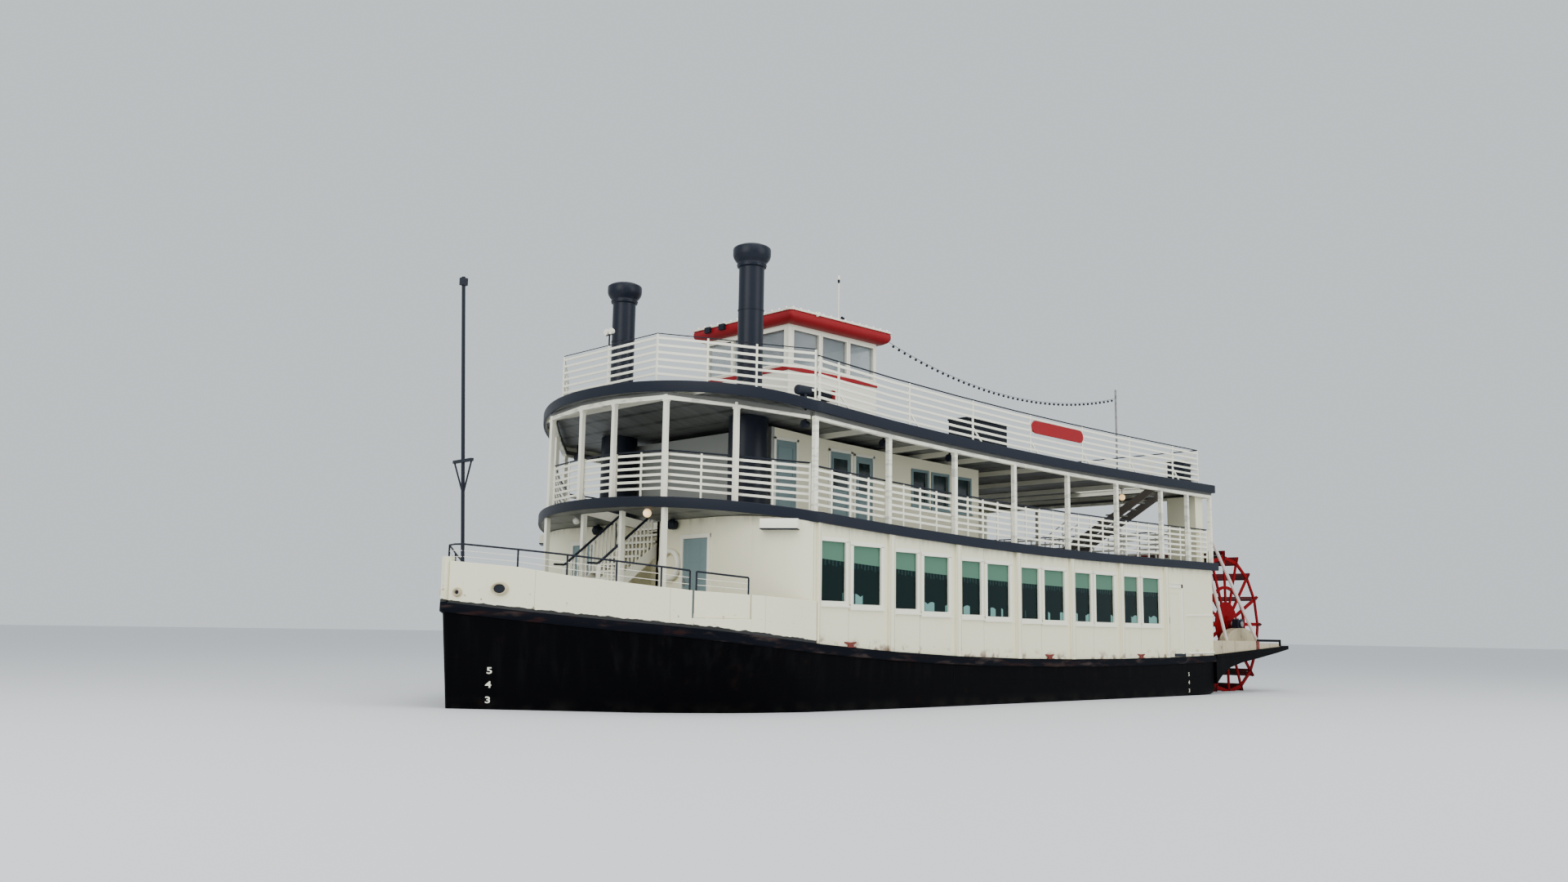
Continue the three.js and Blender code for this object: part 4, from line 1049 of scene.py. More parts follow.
class STEAMER_OT_house(bpy.types.Operator):
    """Builds the fore end of the main house and finishes its sides"""

    bl_idname = "steamer.house"
    bl_label = "Main house"

    DOOR_Y = (1.824, 2.746)
    DOOR_Z = (1.944, 3.936)

    def execute(self, context):
        def ceiling(x):
            return deck_2(x) - DECK_2_THICK - 0.0005

        def floor(x):
            return main_deck(x) + 0.0005

        front = Form("house_front_plating", "house")
        inner, outer = self.DOOR_Y
        sill, head = self.DOOR_Z
        x = HOUSE_FRONT_X - 0.05
        long, wide = HOUSE_CORNER
        centre = Vector((HOUSE_FRONT_X - long, HOUSE_HALF - wide))
        corner = [
            centre + Vector(((long - 0.05) * math.cos(a), (wide - 0.05) * math.sin(a)))
            for a in (math.radians(3 * i) for i in range(31))
        ]
        for _, side in SIDES:
            for plan, low, high in (
                ([(x, 0.8), (x, inner)], floor, ceiling), ([(x, inner), (x, outer)], floor, sill),
                ([(x, inner), (x, outer)], head, ceiling), ([(x, outer), *corner], floor, ceiling),
                ([(HOUSE_FRONT_X, 0.85), (8.5, 0.85)], floor, ceiling),
            ):
                front.wall(flipped(plan, side), 0.1, low, high)
        front.wall([Vector((8.55, -0.85)), Vector((8.55, 0.85))], 0.1, floor, ceiling)
        front.settle(replaces=["house_front"], smooth=25)
        dress("house", *pair("house_side"), "house_stern")
        dress("saloon", *pair("saloon_glass"))
        for side_name, side in SIDES:
            self.frames(side_name, side)
            self.surrounds(side_name, side)
            self.leaves(side_name, side)
            self.sides(side_name, side)
        dress("door", *pair("fore_door"))
        dress("house", *pair("aft_door"))
        self.fittings()
        return {"FINISHED"}

    def frames(self, side_name, side):
        """Frames round the windows, which are 1.4 m high, with their feet on deeper sills."""
        edge = sizes().frame_width
        for label, fore, aft in (("narrow", 0.14, 0.98), ("wide", 1.2, 2.2)):
            half = (aft - fore) / 2
            form = Form("saloon_frame", "white")
            for x in (-half - edge, half - 0.02):
                form.block((x, x + edge + 0.02), (-0.03, 0.028), (-1.42, 0.0))
            for reach, ys, zs in (
                (edge, (-0.03, 0.028), (-0.02, edge)), (edge, (-0.03, 0.032), (-1.4 - edge, -1.38)),
                (edge + 0.03, (-0.02, 0.06), (-1.44 - edge, -1.4 - edge)),
            ):
                form.block((-half - reach, half + reach), ys, zs)
            xs = [bay - (fore + aft) / 2 for bay in BAYS[:6]]
            places = [(x, HOUSE_HALF * side, deck_2(x) - 0.59) for x in xs]
            turns = [(0, 0, 0 if side > 0 else math.pi)] * len(xs)
            copies(f"saloon_frames_{label}_{side_name}", form, places, turns, rounding=True)

    def surrounds(self, side_name, side):
        form = Form("door_surrounds_" + side_name, "white", "black")
        low, high = self.DOOR_Z
        for xs, ys, zs, finish in (
            ((9.69, 9.73), (1.74, 1.836), (low - 0.05, high + 0.09), 0),
            ((9.69, 9.73), (2.734, 2.83), (low - 0.05, high + 0.09), 0),
            ((9.69, 9.735), (1.74, 2.83), (high - 0.012, high + 0.09), 0),
            ((-7.74, -7.644), (HOUSE_HALF - 0.01, HOUSE_HALF + 0.03), (1.28, 3.42), 0),
            ((-6.876, -6.78), (HOUSE_HALF - 0.01, HOUSE_HALF + 0.03), (1.28, 3.42), 0),
            ((-7.74, -6.78), (HOUSE_HALF - 0.01, HOUSE_HALF + 0.03), (3.298, 3.42), 0),
            ((-7.8, -6.72), (HOUSE_HALF, HOUSE_HALF + 0.06), (3.42, 3.45), 0),
            ((-7.86, -7.2), (HOUSE_HALF, HOUSE_HALF + 0.02), (1.2, 1.29), 1),
        ):
            form.block(xs, on(side, *ys), zs, finish)
        form.settle(rounding=True)

    def leaves(self, side_name, side):
        """The panels, louvres and handles of the doors."""
        leaf = Form(f"fore_door_{side_name}_panels", "door", "steel")
        leaf.block((9.7, 9.706), on(side, 2.0, 2.57), (3.36, 3.48))
        for z in (2.06 + 0.05 * k for k in range(7)):
            leaf.loft([
                [(9.7, y, z), (9.715, y, z), (9.7, y, z + 0.035)] for y in on(side, 2.0, 2.57)
            ])
        leaf.frame(on(side, 1.97, 2.6), (9.7, 9.714), (2.02, 2.44), 0.03, flat="X")
        leaf.block((9.7, 9.715), on(side, 1.86, 1.91), (2.8, 2.98), 1)
        grip = ((9.705, 1.885, 2.9), (9.75, 1.885, 2.9), (9.75, 1.99, 2.9))
        leaf.tube(flipped(grip, side), 0.01, finish=1)
        leaf.settle("fore_door_" + side_name)
        leaf = Form(f"aft_door_{side_name}_panels", "house", "steel")
        ys = on(side, HOUSE_HALF, HOUSE_HALF + 0.012)
        leaf.frame((-7.56, -6.96), ys, (1.42, 3.2), 0.06)
        leaf.block((-6.96, -6.9), ys, (2.2, 2.4), 1)
        leaf.settle("aft_door_" + side_name)

    def sides(self, side_name, side):
        """Guard mouldings and the vents at the corners."""
        y = (HOUSE_HALF + 0.005) * side
        lines = [[(-9.65, y, 2.5), (-7.95, y, 2.46)], [(-9.65, y, 1.32), (-7.95, y, 1.3)]]
        tubes("side_moulding_" + side_name, lines, 0.034, "white", 12)
        vent = Form("corner_vent_" + side_name, "white", "black")
        out = Vector((0.8, 0.6 * side)) * 0.28
        for low, high, lip, finish in ((4.07, 4.29, 0.05, 0), (4.045, 4.07, 0.0, 1)):
            section = ((-0.3, high), (0.9, high), (1.0, high - lip), (1.0, low), (-0.3, low))
            vent.loft([
                [(*(Vector(end) + out * share), z) for share, z in section]
                for end in ((9.44, 4.29 * side), (8.92, 4.99 * side))
            ], finish)
        vent.settle(rounding=0.006)

    def fittings(self):
        """Speakers, globes and the life ring."""
        speakers = Form("front_speakers", "black")
        profile = [(0.05, 0.0), (0.11, 0.03), (0.125, 0.1), (0.12, 0.2), (0.06, 0.25)]
        for y in (1.57, -1.5):
            speakers.turned(profile, (9.72, y, 4.27), "X", 24)
            speakers.block((9.8, 9.86), (y - 0.05, y + 0.05), (4.34, 4.42))
        speakers.settle()
        ring = Form("life_ring", "white")
        section = [(0.33 + 0.065 * math.cos(a), 0.065 * math.sin(a)) for a in around(12)]
        ring.hoop(section, (9.775, 1.4, 3.32), "X", 36)
        ring.settle()
        globes = Form("globe_lamps", "lamp", "plate", "steel")
        for x, y, top, drop, radius, lit in (
            (10.84, 1.86, deck_2(10.84) - DECK_2_THICK, 0.12, 0.1, 0),
            (10.67, -1.25, deck_2(10.67) - DECK_2_THICK, 0.11, 0.09, 1),
            (-6.72, 3.7, deck_3(-6.72) - FASCIA_DEPTH, 0.29, 0.1, 0),
        ):
            stem = [(0.012, -drop + radius * 0.8), (0.012, -0.01)]
            globes.turned(ball(radius), (x, y, top - drop), sides=24, finish=lit)
            globes.turned(stem, (x, y, top), sides=12, finish=2)
            globes.turned([(0.06, -0.03), (0.07, 0.0)], (x, y, top), sides=20, finish=2)
        globes.settle()


class STEAMER_OT_decks(bpy.types.Operator):
    """Builds the black deck edges, the header beams and the railings"""

    bl_idname = "steamer.decks"
    bl_label = "Upper decks and railings"

    def execute(self, context):
        dress("decked", "deck_2", "deck_3")
        dress("peeling", *pair("posts_2"))
        line = whole([*deck_line(), Vector((DECK_STERN_X, 2.6)), Vector((DECK_STERN_X, 0.0))])
        for level, depth, height, proud in (
            (2, DECK_2_THICK + 0.01, deck_2, 0.035), (3, FASCIA_DEPTH + 0.01, deck_3, 0.012),
        ):
            band = Form(f"deck_{level}_edge", "black")
            band.sweep(raised(line, height), [
                (-0.05, -depth), (proud - 0.006, -depth), (proud, -depth + 0.02), (proud, -0.01),
                (proud - 0.008, 0.006), (-0.05, 0.006),
            ])
            band.settle(smooth=25)
        self.headers()
        low_bays = [8.44, *(BAYS[0] - 0.635 * k for k in range(1, 29))]
        top_bays = [8.44, *(BAYS[0] - 0.7 - 2.54 * k for k in range(7))]
        low, top = (deck_2, 0.2, 1.0), (deck_3, 0.11, 0.98)
        self.railings(2, low, 4.965, -9.7, low_bays, 0.64, sizes().handrail)
        self.railings(3, top, 5.1, -9.0, top_bays, 1.65, 0.018)
        corners = [Vector(p) for p in FORE_POSTS] + [Vector((8.59, 4.96))]
        corners = mirrored(corners[:-1]) + corners
        fore_2 = [p - step * 0.11 for p, step in zip(corners, mitres(corners))][3:]
        fore_3 = [Vector(p) for p in FORE_RAIL_3]
        spots_2 = [*fore_2, *((a + b) / 2 for a, b in zip(fore_2, fore_2[1:]))]
        spots_3 = [Vector((fore_3[0].x, 0.0)), *fore_3]
        for name, half, levels, lift, spots, grip in (
            ("railing_2_fore", fore_2, low, 0.06, spots_2, sizes().handrail),
            ("railing_3_fore", fore_3, top, 0.15, spots_3, 0.012),
        ):
            spots += mirrored(p for p in spots if p.y > 0)
            self.railing(name, mirrored(half) + half, levels, lift, spots, grip)
        self.braces(top_bays[1:])
        return {"FINISHED"}

    def railings(self, level, levels, half, stern, stations, gap, grip):
        """The railings along both sides, each with its turn across the stern."""
        xs = [8.5, *(x for x in BAYS[1:] if x > stern), stern]
        line = [*((x, half) for x in xs), (stern, 0.06)]
        spots = [*((x, half) for x in stations), (stern, half)]
        spots += [(stern, y) for y in spread(half - gap, 0.1, gap)]
        for side_name, side in SIDES:
            run, marks = flipped(line, side), flipped(spots, side)
            self.railing(f"railing_{level}_{side_name}", run, levels, 0, marks, grip)

    def railing(self, name, line, levels, lift, spots, grip):
        """Six flat bars and a handrail along a line, with uprights at the spots."""
        size = sizes()
        deck, lowest, highest = levels
        path = raised(line, deck)
        source = strands(path, *([p] for p in raised(spots, deck)))
        turns = [0.0] * 3 * len(path)
        for spot in spots:
            a, b = min(zip(line, line[1:]), key=lambda ends: off_line(spot, *ends))
            turns += [0.0, 0.0, math.atan2(b.y - a.y, b.x - a.x)]
        store(source, "FLOAT", "upright", "value", [0.0] * len(path) + [1.0] * len(spots))
        store(source, "FLOAT_VECTOR", "turn", "vector", turns)
        grow(name + "_bars", source, railing_nodes, "white", {
            "Rails": size.rail_count, "Lowest": lowest + lift,
            "Step": (highest - lowest) / (size.rail_count - 1), "Thickness": size.rail_thickness,
            "Depth": size.rail_depth, "Picket": size.picket, "Height": 1.07 + lift,
        }, replaces=[name])
        top = [p + Vector((0, 0, 1.085 + lift)) for p in path]
        tubes(name + "_handrail", [top], grip, "black", 10, slot=None)

    def braces(self, stations):
        """Short struts that run aft from the uprights of the top railings to the deck."""
        struts = Form("rail_braces", "white")
        for x in stations:
            for _, side in SIDES:
                y, deck = 5.1 * side, deck_3(x)
                ends = (x - 0.02, y, deck + 0.33), (x - 0.36, y, deck + 0.012)
                struts.bar(*ends, 0.03, 0.04, up=(1, 0, 0))
        struts.settle()

    def headers(self):
        """Cladding on the header beams, the posts at the fore end and the lamps beside them."""
        band = Form("header_mouldings", "peeling")
        profile = [
            (-0.062, -0.415), (0.062, -0.415), (0.062, -0.38), (0.045, -0.36), (0.045, -0.29),
            (0.06, -0.26), (0.06, -0.242), (-0.062, -0.242),
        ]
        fore = [*map(Vector, FORE_POSTS), Vector((8.6, 4.97))]
        sides = [Vector((x, 5.05)) for x in (8.575, *BAYS[1:], -9.79)] + [Vector((-9.79, 0.0))]
        for line in (mirrored(fore) + fore, [*sides, *mirrored(sides)[1:]]):
            band.sweep(raised(line, deck_3), profile)
        band.settle(smooth=30)
        legs = Form("fore_posts", "white")
        for x, y in ((x, y * side) for x, y in FORE_POSTS for _, side in SIDES):
            foot, head = deck_2(x), deck_3(x) - 0.3
            for half, low, high in (
                (0.055, foot, head), (0.075, foot, foot + 0.03), (0.07, head - 0.16, head - 0.1),
            ):
                legs.block((x - half, x + half), (y - half, y + half), (low, high))
        legs.settle(replaces=["posts_2_fore"], rounding=0.006)
        lamps = Form("promenade_lamps", "black", "dark")
        shade = [(0.04, -0.1), (0.08, -0.08), (0.1, 0.05), (0.1, 0.07)]
        for x, y in ((x, 4.6 * side) for x in (8.4, 5.66, 3.07) for _, side in SIDES):
            top = deck_3(x) - 0.1
            lamps.block((x - 0.02, x + 0.02), (y - 0.02, y + 0.02), (top - 0.3, top))
            lamps.turned(shade, (x, y, top - 0.36), "X", 20)
        lamps.settle()


def off_line(point, a, b):
    """How far a point is from the stretch between a and b."""
    share = max(0.0, min(1.0, (point - a).dot(b - a) / (b - a).length_squared))
    return (a.lerp(b, share) - point).length


class STEAMER_OT_cabin(bpy.types.Operator):
    """Finishes the upper cabin, its doors and windows"""

    bl_idname = "steamer.cabin"
    bl_label = "Upper cabin"

    DOORS = ((7.03, 7.72), (5.05, 5.8), (4.2, 4.85))
    WINDOWS = ((1.96, 2.56), (1.07, 1.71), (0.07, 0.64))

    def execute(self, context):
        dress("cabin", *pair("cabin_side"), "cabin_aft")
        # The cabin front takes the grey of painted shade.
        dress("shaded", "cabin_front")
        dress("dark", *pair("cabin_glass"))
        for side_name, side in SIDES:
            def ys(a, b):
                return on(side, 2.9 + a, 2.9 + b)
            trims = Form("cabin_trims_" + side_name, "white", "door")
            for number, (aft, fore) in enumerate(self.DOORS, 1):
                low, high = deck_2(fore) + 0.05, deck_2(aft) + 2.05
                for xs, zs in (
                    ((aft - 0.08, aft - 0.006), (low, high + 0.07)),
                    ((fore + 0.006, fore + 0.08), (low, high + 0.07)),
                    ((aft - 0.08, fore + 0.08), (high + 0.006, high + 0.08)),
                ):
                    trims.block(xs, ys(-0.01, 0.025), zs)
                door = f"cabin_door_{number}_{side_name}"
                leaf = Form(door + "_panels", "door", "dark", "steel")
                pane, panel = (low + 0.98, high - 0.12), (low + 0.15, low + 0.86)
                leaf.frame((aft + 0.07, fore - 0.07), ys(0, 0.014), pane, 0.045)
                if number > 1:
                    zs = (low + 1.02, high - 0.16)
                    leaf.block((aft + 0.11, fore - 0.11), ys(0, 0.006), zs, 1)
                leaf.frame((aft + 0.1, fore - 0.1), ys(0, 0.01), panel, 0.04)
                edge = fore - 0.06 if number != 2 else aft + 0.06
                leaf.block((edge - 0.025, edge + 0.025), ys(0, 0.012), (low + 0.9, low + 1.05), 2)
                leaf.settle(door, rounding=0.003)
            for aft, fore in self.WINDOWS:
                low, high = deck_2(aft) + 0.98, deck_2(aft) + 2.02
                trims.frame((aft - 0.07, fore + 0.07), ys(-0.03, 0.028), (low, high), 0.075, 1)
                trims.block((aft - 0.1, fore + 0.1), ys(-0.01, 0.055), (low - 0.04, low), 1)
            trims.settle(rounding=True)
        for number in (1, 2, 3):
            dress("door", *pair(f"cabin_door_{number}"))
        return {"FINISHED"}


class STEAMER_OT_funnels(bpy.types.Operator):
    """Builds the two funnels with their collars, crowns and rivets"""

    bl_idname = "steamer.funnels"
    bl_label = "Funnels"

    X, HALF, TOP = 8.4, 2.63, 11.28
    CROWN = [
        (0.317, 0.58), (0.33, 0.565), (0.362, 0.55), (0.368, 0.5), (0.362, 0.46), (0.37, 0.44),
        (0.395, 0.41), (0.45, 0.33), (0.473, 0.26), (0.476, 0.2), (0.476, 0.1), (0.468, 0.075),
        (0.42, 0.035), (0.35, 0.006), (0.335, 0.0), (0.3, 0.0), (0.287, 0.02), (0.287, 0.4),
    ]

    def execute(self, context):
        casing_low, casing_high, foot = deck_2(self.X), deck_3(self.X) - 0.1, deck_3(self.X)
        crown = [(radius, self.TOP - drop) for radius, drop in self.CROWN]
        profiles = [
            [(0.317, 6.9), *crown], [(0.49, casing_low), (0.49, casing_high)],
            [(0.43, foot), (0.43, foot + 0.02), (0.36, foot + 0.05), (0.33, foot + 0.11),
             (0.318, foot + 0.12)],
        ]
        for base, face, z, ease, high in (
            (0.5, 0.503, casing_low, 0.006, 0.066), (0.5, 0.503, casing_low + 1.3, 0.006, 0.066),
            (0.318, 0.324, 8.3, 0.004, 0.054), (0.318, 0.324, 9.6, 0.004, 0.054),
        ):
            top = z + high
            profiles.append([(base, z), (face, z + ease), (face, top - ease), (base, top)])
        rivet_rows = (
            (0.324, 8.325), (0.324, 9.625), (0.368, self.TOP - 0.5), (0.503, casing_low + 0.033),
        )
        for side_name, side in SIDES:
            at = Vector((self.X, self.HALF * side, 0))
            name = "funnel_" + side_name
            pipe = Form(name + "_pipe", "funnel")
            for profile in profiles:
                pipe.turned(profile, at, sides=64)
            pipe.settle(replaces=[name], smooth=30)
            head = Form("rivet", "funnel")
            profile = [(0.012, -0.002), (0.012, 0.002), (0.008, 0.007), (0.003, 0.009)]
            head.turned(profile, (0, 0, 0), "X", 8)
            places = [at + polar(radius, a, z) for radius, z in rivet_rows for a in around(32)]
            turns = [(0, 0, a) for _ in rivet_rows for a in around(32)]
            copies(name + "_rivets", head, places, turns)
        return {"FINISHED"}


class STEAMER_OT_stairs(bpy.types.Operator):
    """Builds the fore stair and the after stair, and finishes the lockers"""

    bl_idname = "steamer.stairs"
    bl_label = "Stairs"

    STEPS = 13

    def execute(self, context):
        self.fore_stair()
        self.after_stair()
        dress("cabin", *pair("aft_locker"))
        return {"FINISHED"}

    def fore_stair(self):
        foot_x, top_x, half = 11.75, 8.72, 0.7
        foot = main_deck(foot_x) + FOREDECK_RISE
        head = deck_2(top_x)
        rise, going = (head - foot) / self.STEPS, (foot_x - top_x) / self.STEPS

        def nosing(x):
            return foot + (foot_x - x) * rise / going

        stair = Form("fore_stair_flight", "white", "stair")
        string = [
            (foot_x + 0.06, foot + 0.02), (foot_x + 0.06, foot + 0.16), (top_x, head + 0.04),
            (top_x, head - 0.24), (foot_x - 0.25, foot + 0.02),
        ]
        for _, side in SIDES:
            stair.slab(string, on(side, half - 0.02, half + 0.02))
        width = (0.02 - half, half - 0.02)
        for i in range(self.STEPS - 1):
            x, z = foot_x - i * going, foot + (i + 1) * rise
            stair.block((x - going - 0.04, x), width, (z - 0.04, z), 1)
            stair.block((x - 0.015, x + 0.012), width, (z - 0.05, z + 0.003))
        stair.settle(replaces=["fore_stair"], rounding=0.004)
        spindle = Form("baluster", "white")
        spindle.turned([
            (0.024, 0.0), (0.024, 0.16), (0.015, 0.19), (0.026, 0.24), (0.03, 0.3), (0.018, 0.42),
            (0.013, 0.5), (0.018, 0.58), (0.028, 0.66), (0.015, 0.72), (0.024, 0.76), (0.024, 0.92),
        ], (0, 0, 0), sides=12)
        xs = spread(11.3, 9.78, going * 0.5)
        places = [(x, half * side, nosing(x)) for x in xs for _, side in SIDES]
        copies("fore_stair_balusters", spindle, places)
        for side_name, side in SIDES:
            y = half * side
            grip = Form("fore_stair_handrail_" + side_name, "black")
            low, high = ((x, y, nosing(x) + 0.93) for x in (11.35, 9.73))
            grip.bar(low, high, 0.06, 0.05)
            grip.bar((11.65, *low[1:]), low, 0.06, 0.05)
            grip.settle(rounding=0.01)
            newel = Form("fore_stair_newel_" + side_name, "white")
            middle = nosing(11.34)
            newel.block((11.3, 11.38), (y - 0.04, y + 0.04), (middle - 0.1, middle + 0.9))
            newel.settle(rounding=0.006)

    def after_stair(self):
        x0, x1, foot_y, top_y = -8.2, -7.36, 0.4, 4.6
        foot, head = deck_2(x0), deck_3(x1)
        rise, going = (head - foot) / self.STEPS, (top_y - foot_y) / self.STEPS
        stair = Form("aft_stair_flight", "stair", "shaded")
        string = [
            (foot_y - 0.06, foot + 0.001), (foot_y + 0.33, foot + 0.001), (top_y, head - 0.26),
            (top_y, head - 0.001), (foot_y - 0.06, foot + 0.14),
        ]
        for x in (x0, x1 - 0.04):
            stair.loft([[Vector((edge, y, z)) for y, z in string] for edge in (x, x + 0.04)])
        for i in range(self.STEPS - 1):
            y, z = foot_y + i * going, foot + (i + 1) * rise
            stair.block((x0 + 0.03, x1 - 0.03), (y, y + going + 0.03), (z - 0.04, z), 1)
        stair.settle(replaces=["aft_stair"], rounding=0.003)

        def grip(x, y, at=None):
            return x, y, foot + ((y if at is None else at) - foot_y) * rise / going + 0.95

        lines = []
        for x in (x0 + 0.02, x1 - 0.02):
            lines.append([grip(x, foot_y - 0.2, foot_y), grip(x, foot_y), grip(x, 1.1)])
            for head_of_post in (grip(x, y) for y in (0.5, 1.0)):
                lines.append([(*head_of_post[:2], head_of_post[2] - 0.9), head_of_post])
        tubes("aft_stair_handrails", lines, 0.02, "white")


class STEAMER_OT_pilothouse(bpy.types.Operator):
    """Finishes the pilothouse and builds its roof"""

    bl_idname = "steamer.pilothouse"
    bl_label = "Pilothouse"

    AFT, FORE, HALF = 2.75, 6.2, 1.7
    WINDOW_Z = (8.765, 9.77)
    SIDE_WINDOWS = [2.87 + 1.09 * k for k in range(3)]
    EAVE = 9.8603
    AERIAL = (4.2, 1.6)

    def execute(self, context):
        dress("white", *pair("pilothouse_side"), "pilothouse_front", "pilothouse_aft")
        dress("clear", "pilothouse_glass")
        dress("door", "pilothouse_door")
        self.strips()
        self.frames()
        self.roof()
        return {"FINISHED"}

    def strips(self):
        strip = Form("pilothouse_strips", "red", "white")
        x0, x1, half = self.AFT, self.FORE, self.HALF
        for zs, proud, finish in (((8.61, 8.72), 0.03, 0), ((7.95, 8.0), 0.02, 1)):
            for _, side in SIDES:
                ys = on(side, half - 0.005, half + proud)
                strip.block((x0 - proud, x1 + proud), ys, zs, finish)
            strip.block((x1 - 0.005, x1 + proud), (-half, half), zs, finish)
            for ys in ((-half, -0.45), (0.45, half)) if finish == 0 else ():
                strip.block((x0 - proud, x0 + 0.005), ys, zs, finish)
        strip.settle(rounding=True)

    def frames(self):
        frames = Form("pilothouse_frames", "white")
        for _, side in SIDES:
            for x in self.SIDE_WINDOWS:
                ys = on(side, self.HALF - 0.02, self.HALF + 0.02)
                frames.frame((x - 0.035, x + 1.015), ys, self.WINDOW_Z, 0.05)
        for wall, windows in (
            (self.FORE, ((-1.56, -0.56), (-0.5, 0.5), (0.56, 1.56))),
            (self.AFT, ((0.56, 1.5), (-1.5, -0.56))),
        ):
            for a, b in windows:
                xs = (wall - 0.02, wall + 0.02)
                frames.frame((a - 0.035, b + 0.035), xs, self.WINDOW_Z, 0.05, flat="X")
        frames.settle(rounding=True)

    def outline(self, inset):
        """The roof's plan, with rounded corners."""
        r = 0.12
        x0, x1, y = 2.42 + inset + r, 6.44 - inset - r, 2.03 - inset - r
        return [
            Vector((cx, cy)) + polar(r, math.radians(start + a)).to_2d()
            for cx, cy, start in ((x1, y, 0), (x0, y, 90), (x0, -y, 180), (x1, -y, 270))
            for a in range(0, 91, 10)
        ]

    def roof(self):
        roof = Form("pilothouse_canopy", "red", "white", "black")
        eave, mast = self.EAVE, (*self.AERIAL, 0)
        layers = [
            (0.3, 0.0), (0.15, 0.0), (0.06, 0.05), (0.01, 0.12), (0.0, 0.17), (0.0, 0.24),
            (0.02, 0.3), (0.04, 0.335), (0.26, 0.36), (0.6, 0.385), (1.2, 0.398),
        ]
        roof.loft([[Vector((*p, eave + z)) for p in self.outline(inset)] for inset, z in layers])
        roof.block((4.14, 4.26), (1.54, 1.66), (10.18, 10.3), 1)
        roof.tube([(*self.AERIAL, z) for z in (10.2, 11.4)], 0.014, 8, 1)
        tip = [(0.02, 11.38), (0.035, 11.42), (0.035, 11.46), (0.02, 11.48)]
        bulb = [(0.03, 11.48), (0.035, 11.52), (0.03, 11.58), (0.01, 11.6)]
        roof.turned(tip, mast, sides=16, finish=2)
        roof.turned(bulb, mast, sides=16, finish=1)
        roof.turned([(0.03, -0.05), (0.05, 0.04)], (4.05, 1.62, 10.4), "X", 16, 2)
        elbow = [(5.36, 1.9, 10.21), (5.36, 2.0, 10.24), (5.38, 2.045, 10.2), (5.5, 2.045, 10.14)]
        roof.tube(elbow, 0.04, 12, 1)
        roof.settle(replaces=["pilothouse_roof"])
        gutter = Form("roof_gutter", "white")
        rim = [Vector((*p, eave + 0.3)) for p in reversed(self.outline(0.012))]
        gutter.sweep(rim, [(-0.03, 0.0), (0.012, 0.0), (0.016, 0.05), (-0.03, 0.052)], looped=True)
        gutter.settle()
        lamp = Form("rim_lamp", "bulb")
        lamp.turned(ball(0.025, 6), (0, 0, 0.04), sides=8)
        spots = [(x, side * 1.97) for x in spread(2.6, 6.3, 0.28) for _, side in SIDES]
        spots += [(x, y) for y in spread(-1.8, 1.8, 0.28) for x in (2.47, 6.39)]
        copies("rim_lamps", lamp, [(*spot, eave + 0.345) for spot in spots])


class STEAMER_OT_wheel(bpy.types.Operator):
    """Builds the stern wheel"""

    bl_idname = "steamer.wheel"
    bl_label = "Stern wheel"

    PLATES = (-4.05, 0.0, 4.05)
    BOARDS = 16
    PHASE = math.radians(0.6)
    HUB = [
        (0.11, -0.13), (0.26, -0.13), (0.27, -0.03), (0.76, -0.02), (0.76, 0.02), (0.27, 0.03),
        (0.26, 0.13), (0.11, 0.13),
    ]

    def execute(self, context):
        centres = [WHEEL_AT + Vector((0, y, 0)) for y in self.PLATES]
        frames = Form("wheel_hoops", "wheel")
        hoops = ((1.3, 0.03, 0.1, 96), (2.34, 0.0225, 0.12, self.BOARDS))
        for centre in centres:
            for radius, half, width, sides in hoops:
                inner = radius - width
                section = [(inner, -half), (radius, -half), (radius, half), (inner, half)]
                frames.hoop(section, centre, sides=sides)
            frames.turned(self.HUB, centre, "Y", 64)
        frames.settle("wheel", 20, replaces=["wheel"])

        turns = [(0, self.PHASE + a, 0) for a in around(self.BOARDS)]
        spoke = Form("spoke", "wheel")
        spoke.block((0.7, 2.5), (-0.021, 0.021), (-0.06, 0.06))
        places = [centre for centre in centres for _ in turns]
        copies("wheel_spokes", spoke, places, turns * 3, body="wheel", rounding=0.004)
        plank = Form("plank", "plank")
        thick = sizes().plank / 2
        for xs in ((2.2, 2.357), (2.363, 2.519)):
            plank.block(xs, (-4.1, 4.1), (-thick, thick))
        places = [WHEEL_AT for _ in turns]
        copies("wheel_planks", plank, places, turns, body="wheel", rounding=0.005)
        bolt = Form("bolt", "steel")
        radius = sizes().bolt
        bolt.turned([(radius, 0.0), (radius, 0.018), (radius * 0.7, 0.026)], (0, 0, thick), sides=6)
        ys = [y + step for y in self.PLATES for step in (-0.1, 0.1) if abs(y + step) < 4.1]
        spots = [Vector((x, y, 0)) for y in ys for x in (2.26, 2.44)]
        places = [
            WHEEL_AT + Matrix.Rotation(turn[1], 3, "Y") @ spot for turn in turns for spot in spots
        ]
        turned = [turn for turn in turns for _ in spots]
        copies("plank_bolts", bolt, places, turned, body="wheel", slot="red_paint")
        shaft = Form("wheel_shaft", "steel", "wheel")
        profile = [(0.088, -4.64), (0.095, -4.63), (0.095, 4.63), (0.088, 4.64)]
        shaft.turned(profile, WHEEL_AT, "Y")
        for y in (-4.23, 4.23):
            shaft.turned([(0.13, -0.03), (0.13, 0.03)], WHEEL_AT + Vector((0, y, 0)), "Y", 32, 1)
        shaft.settle("wheel", slot="red_paint")
        return {"FINISHED"}


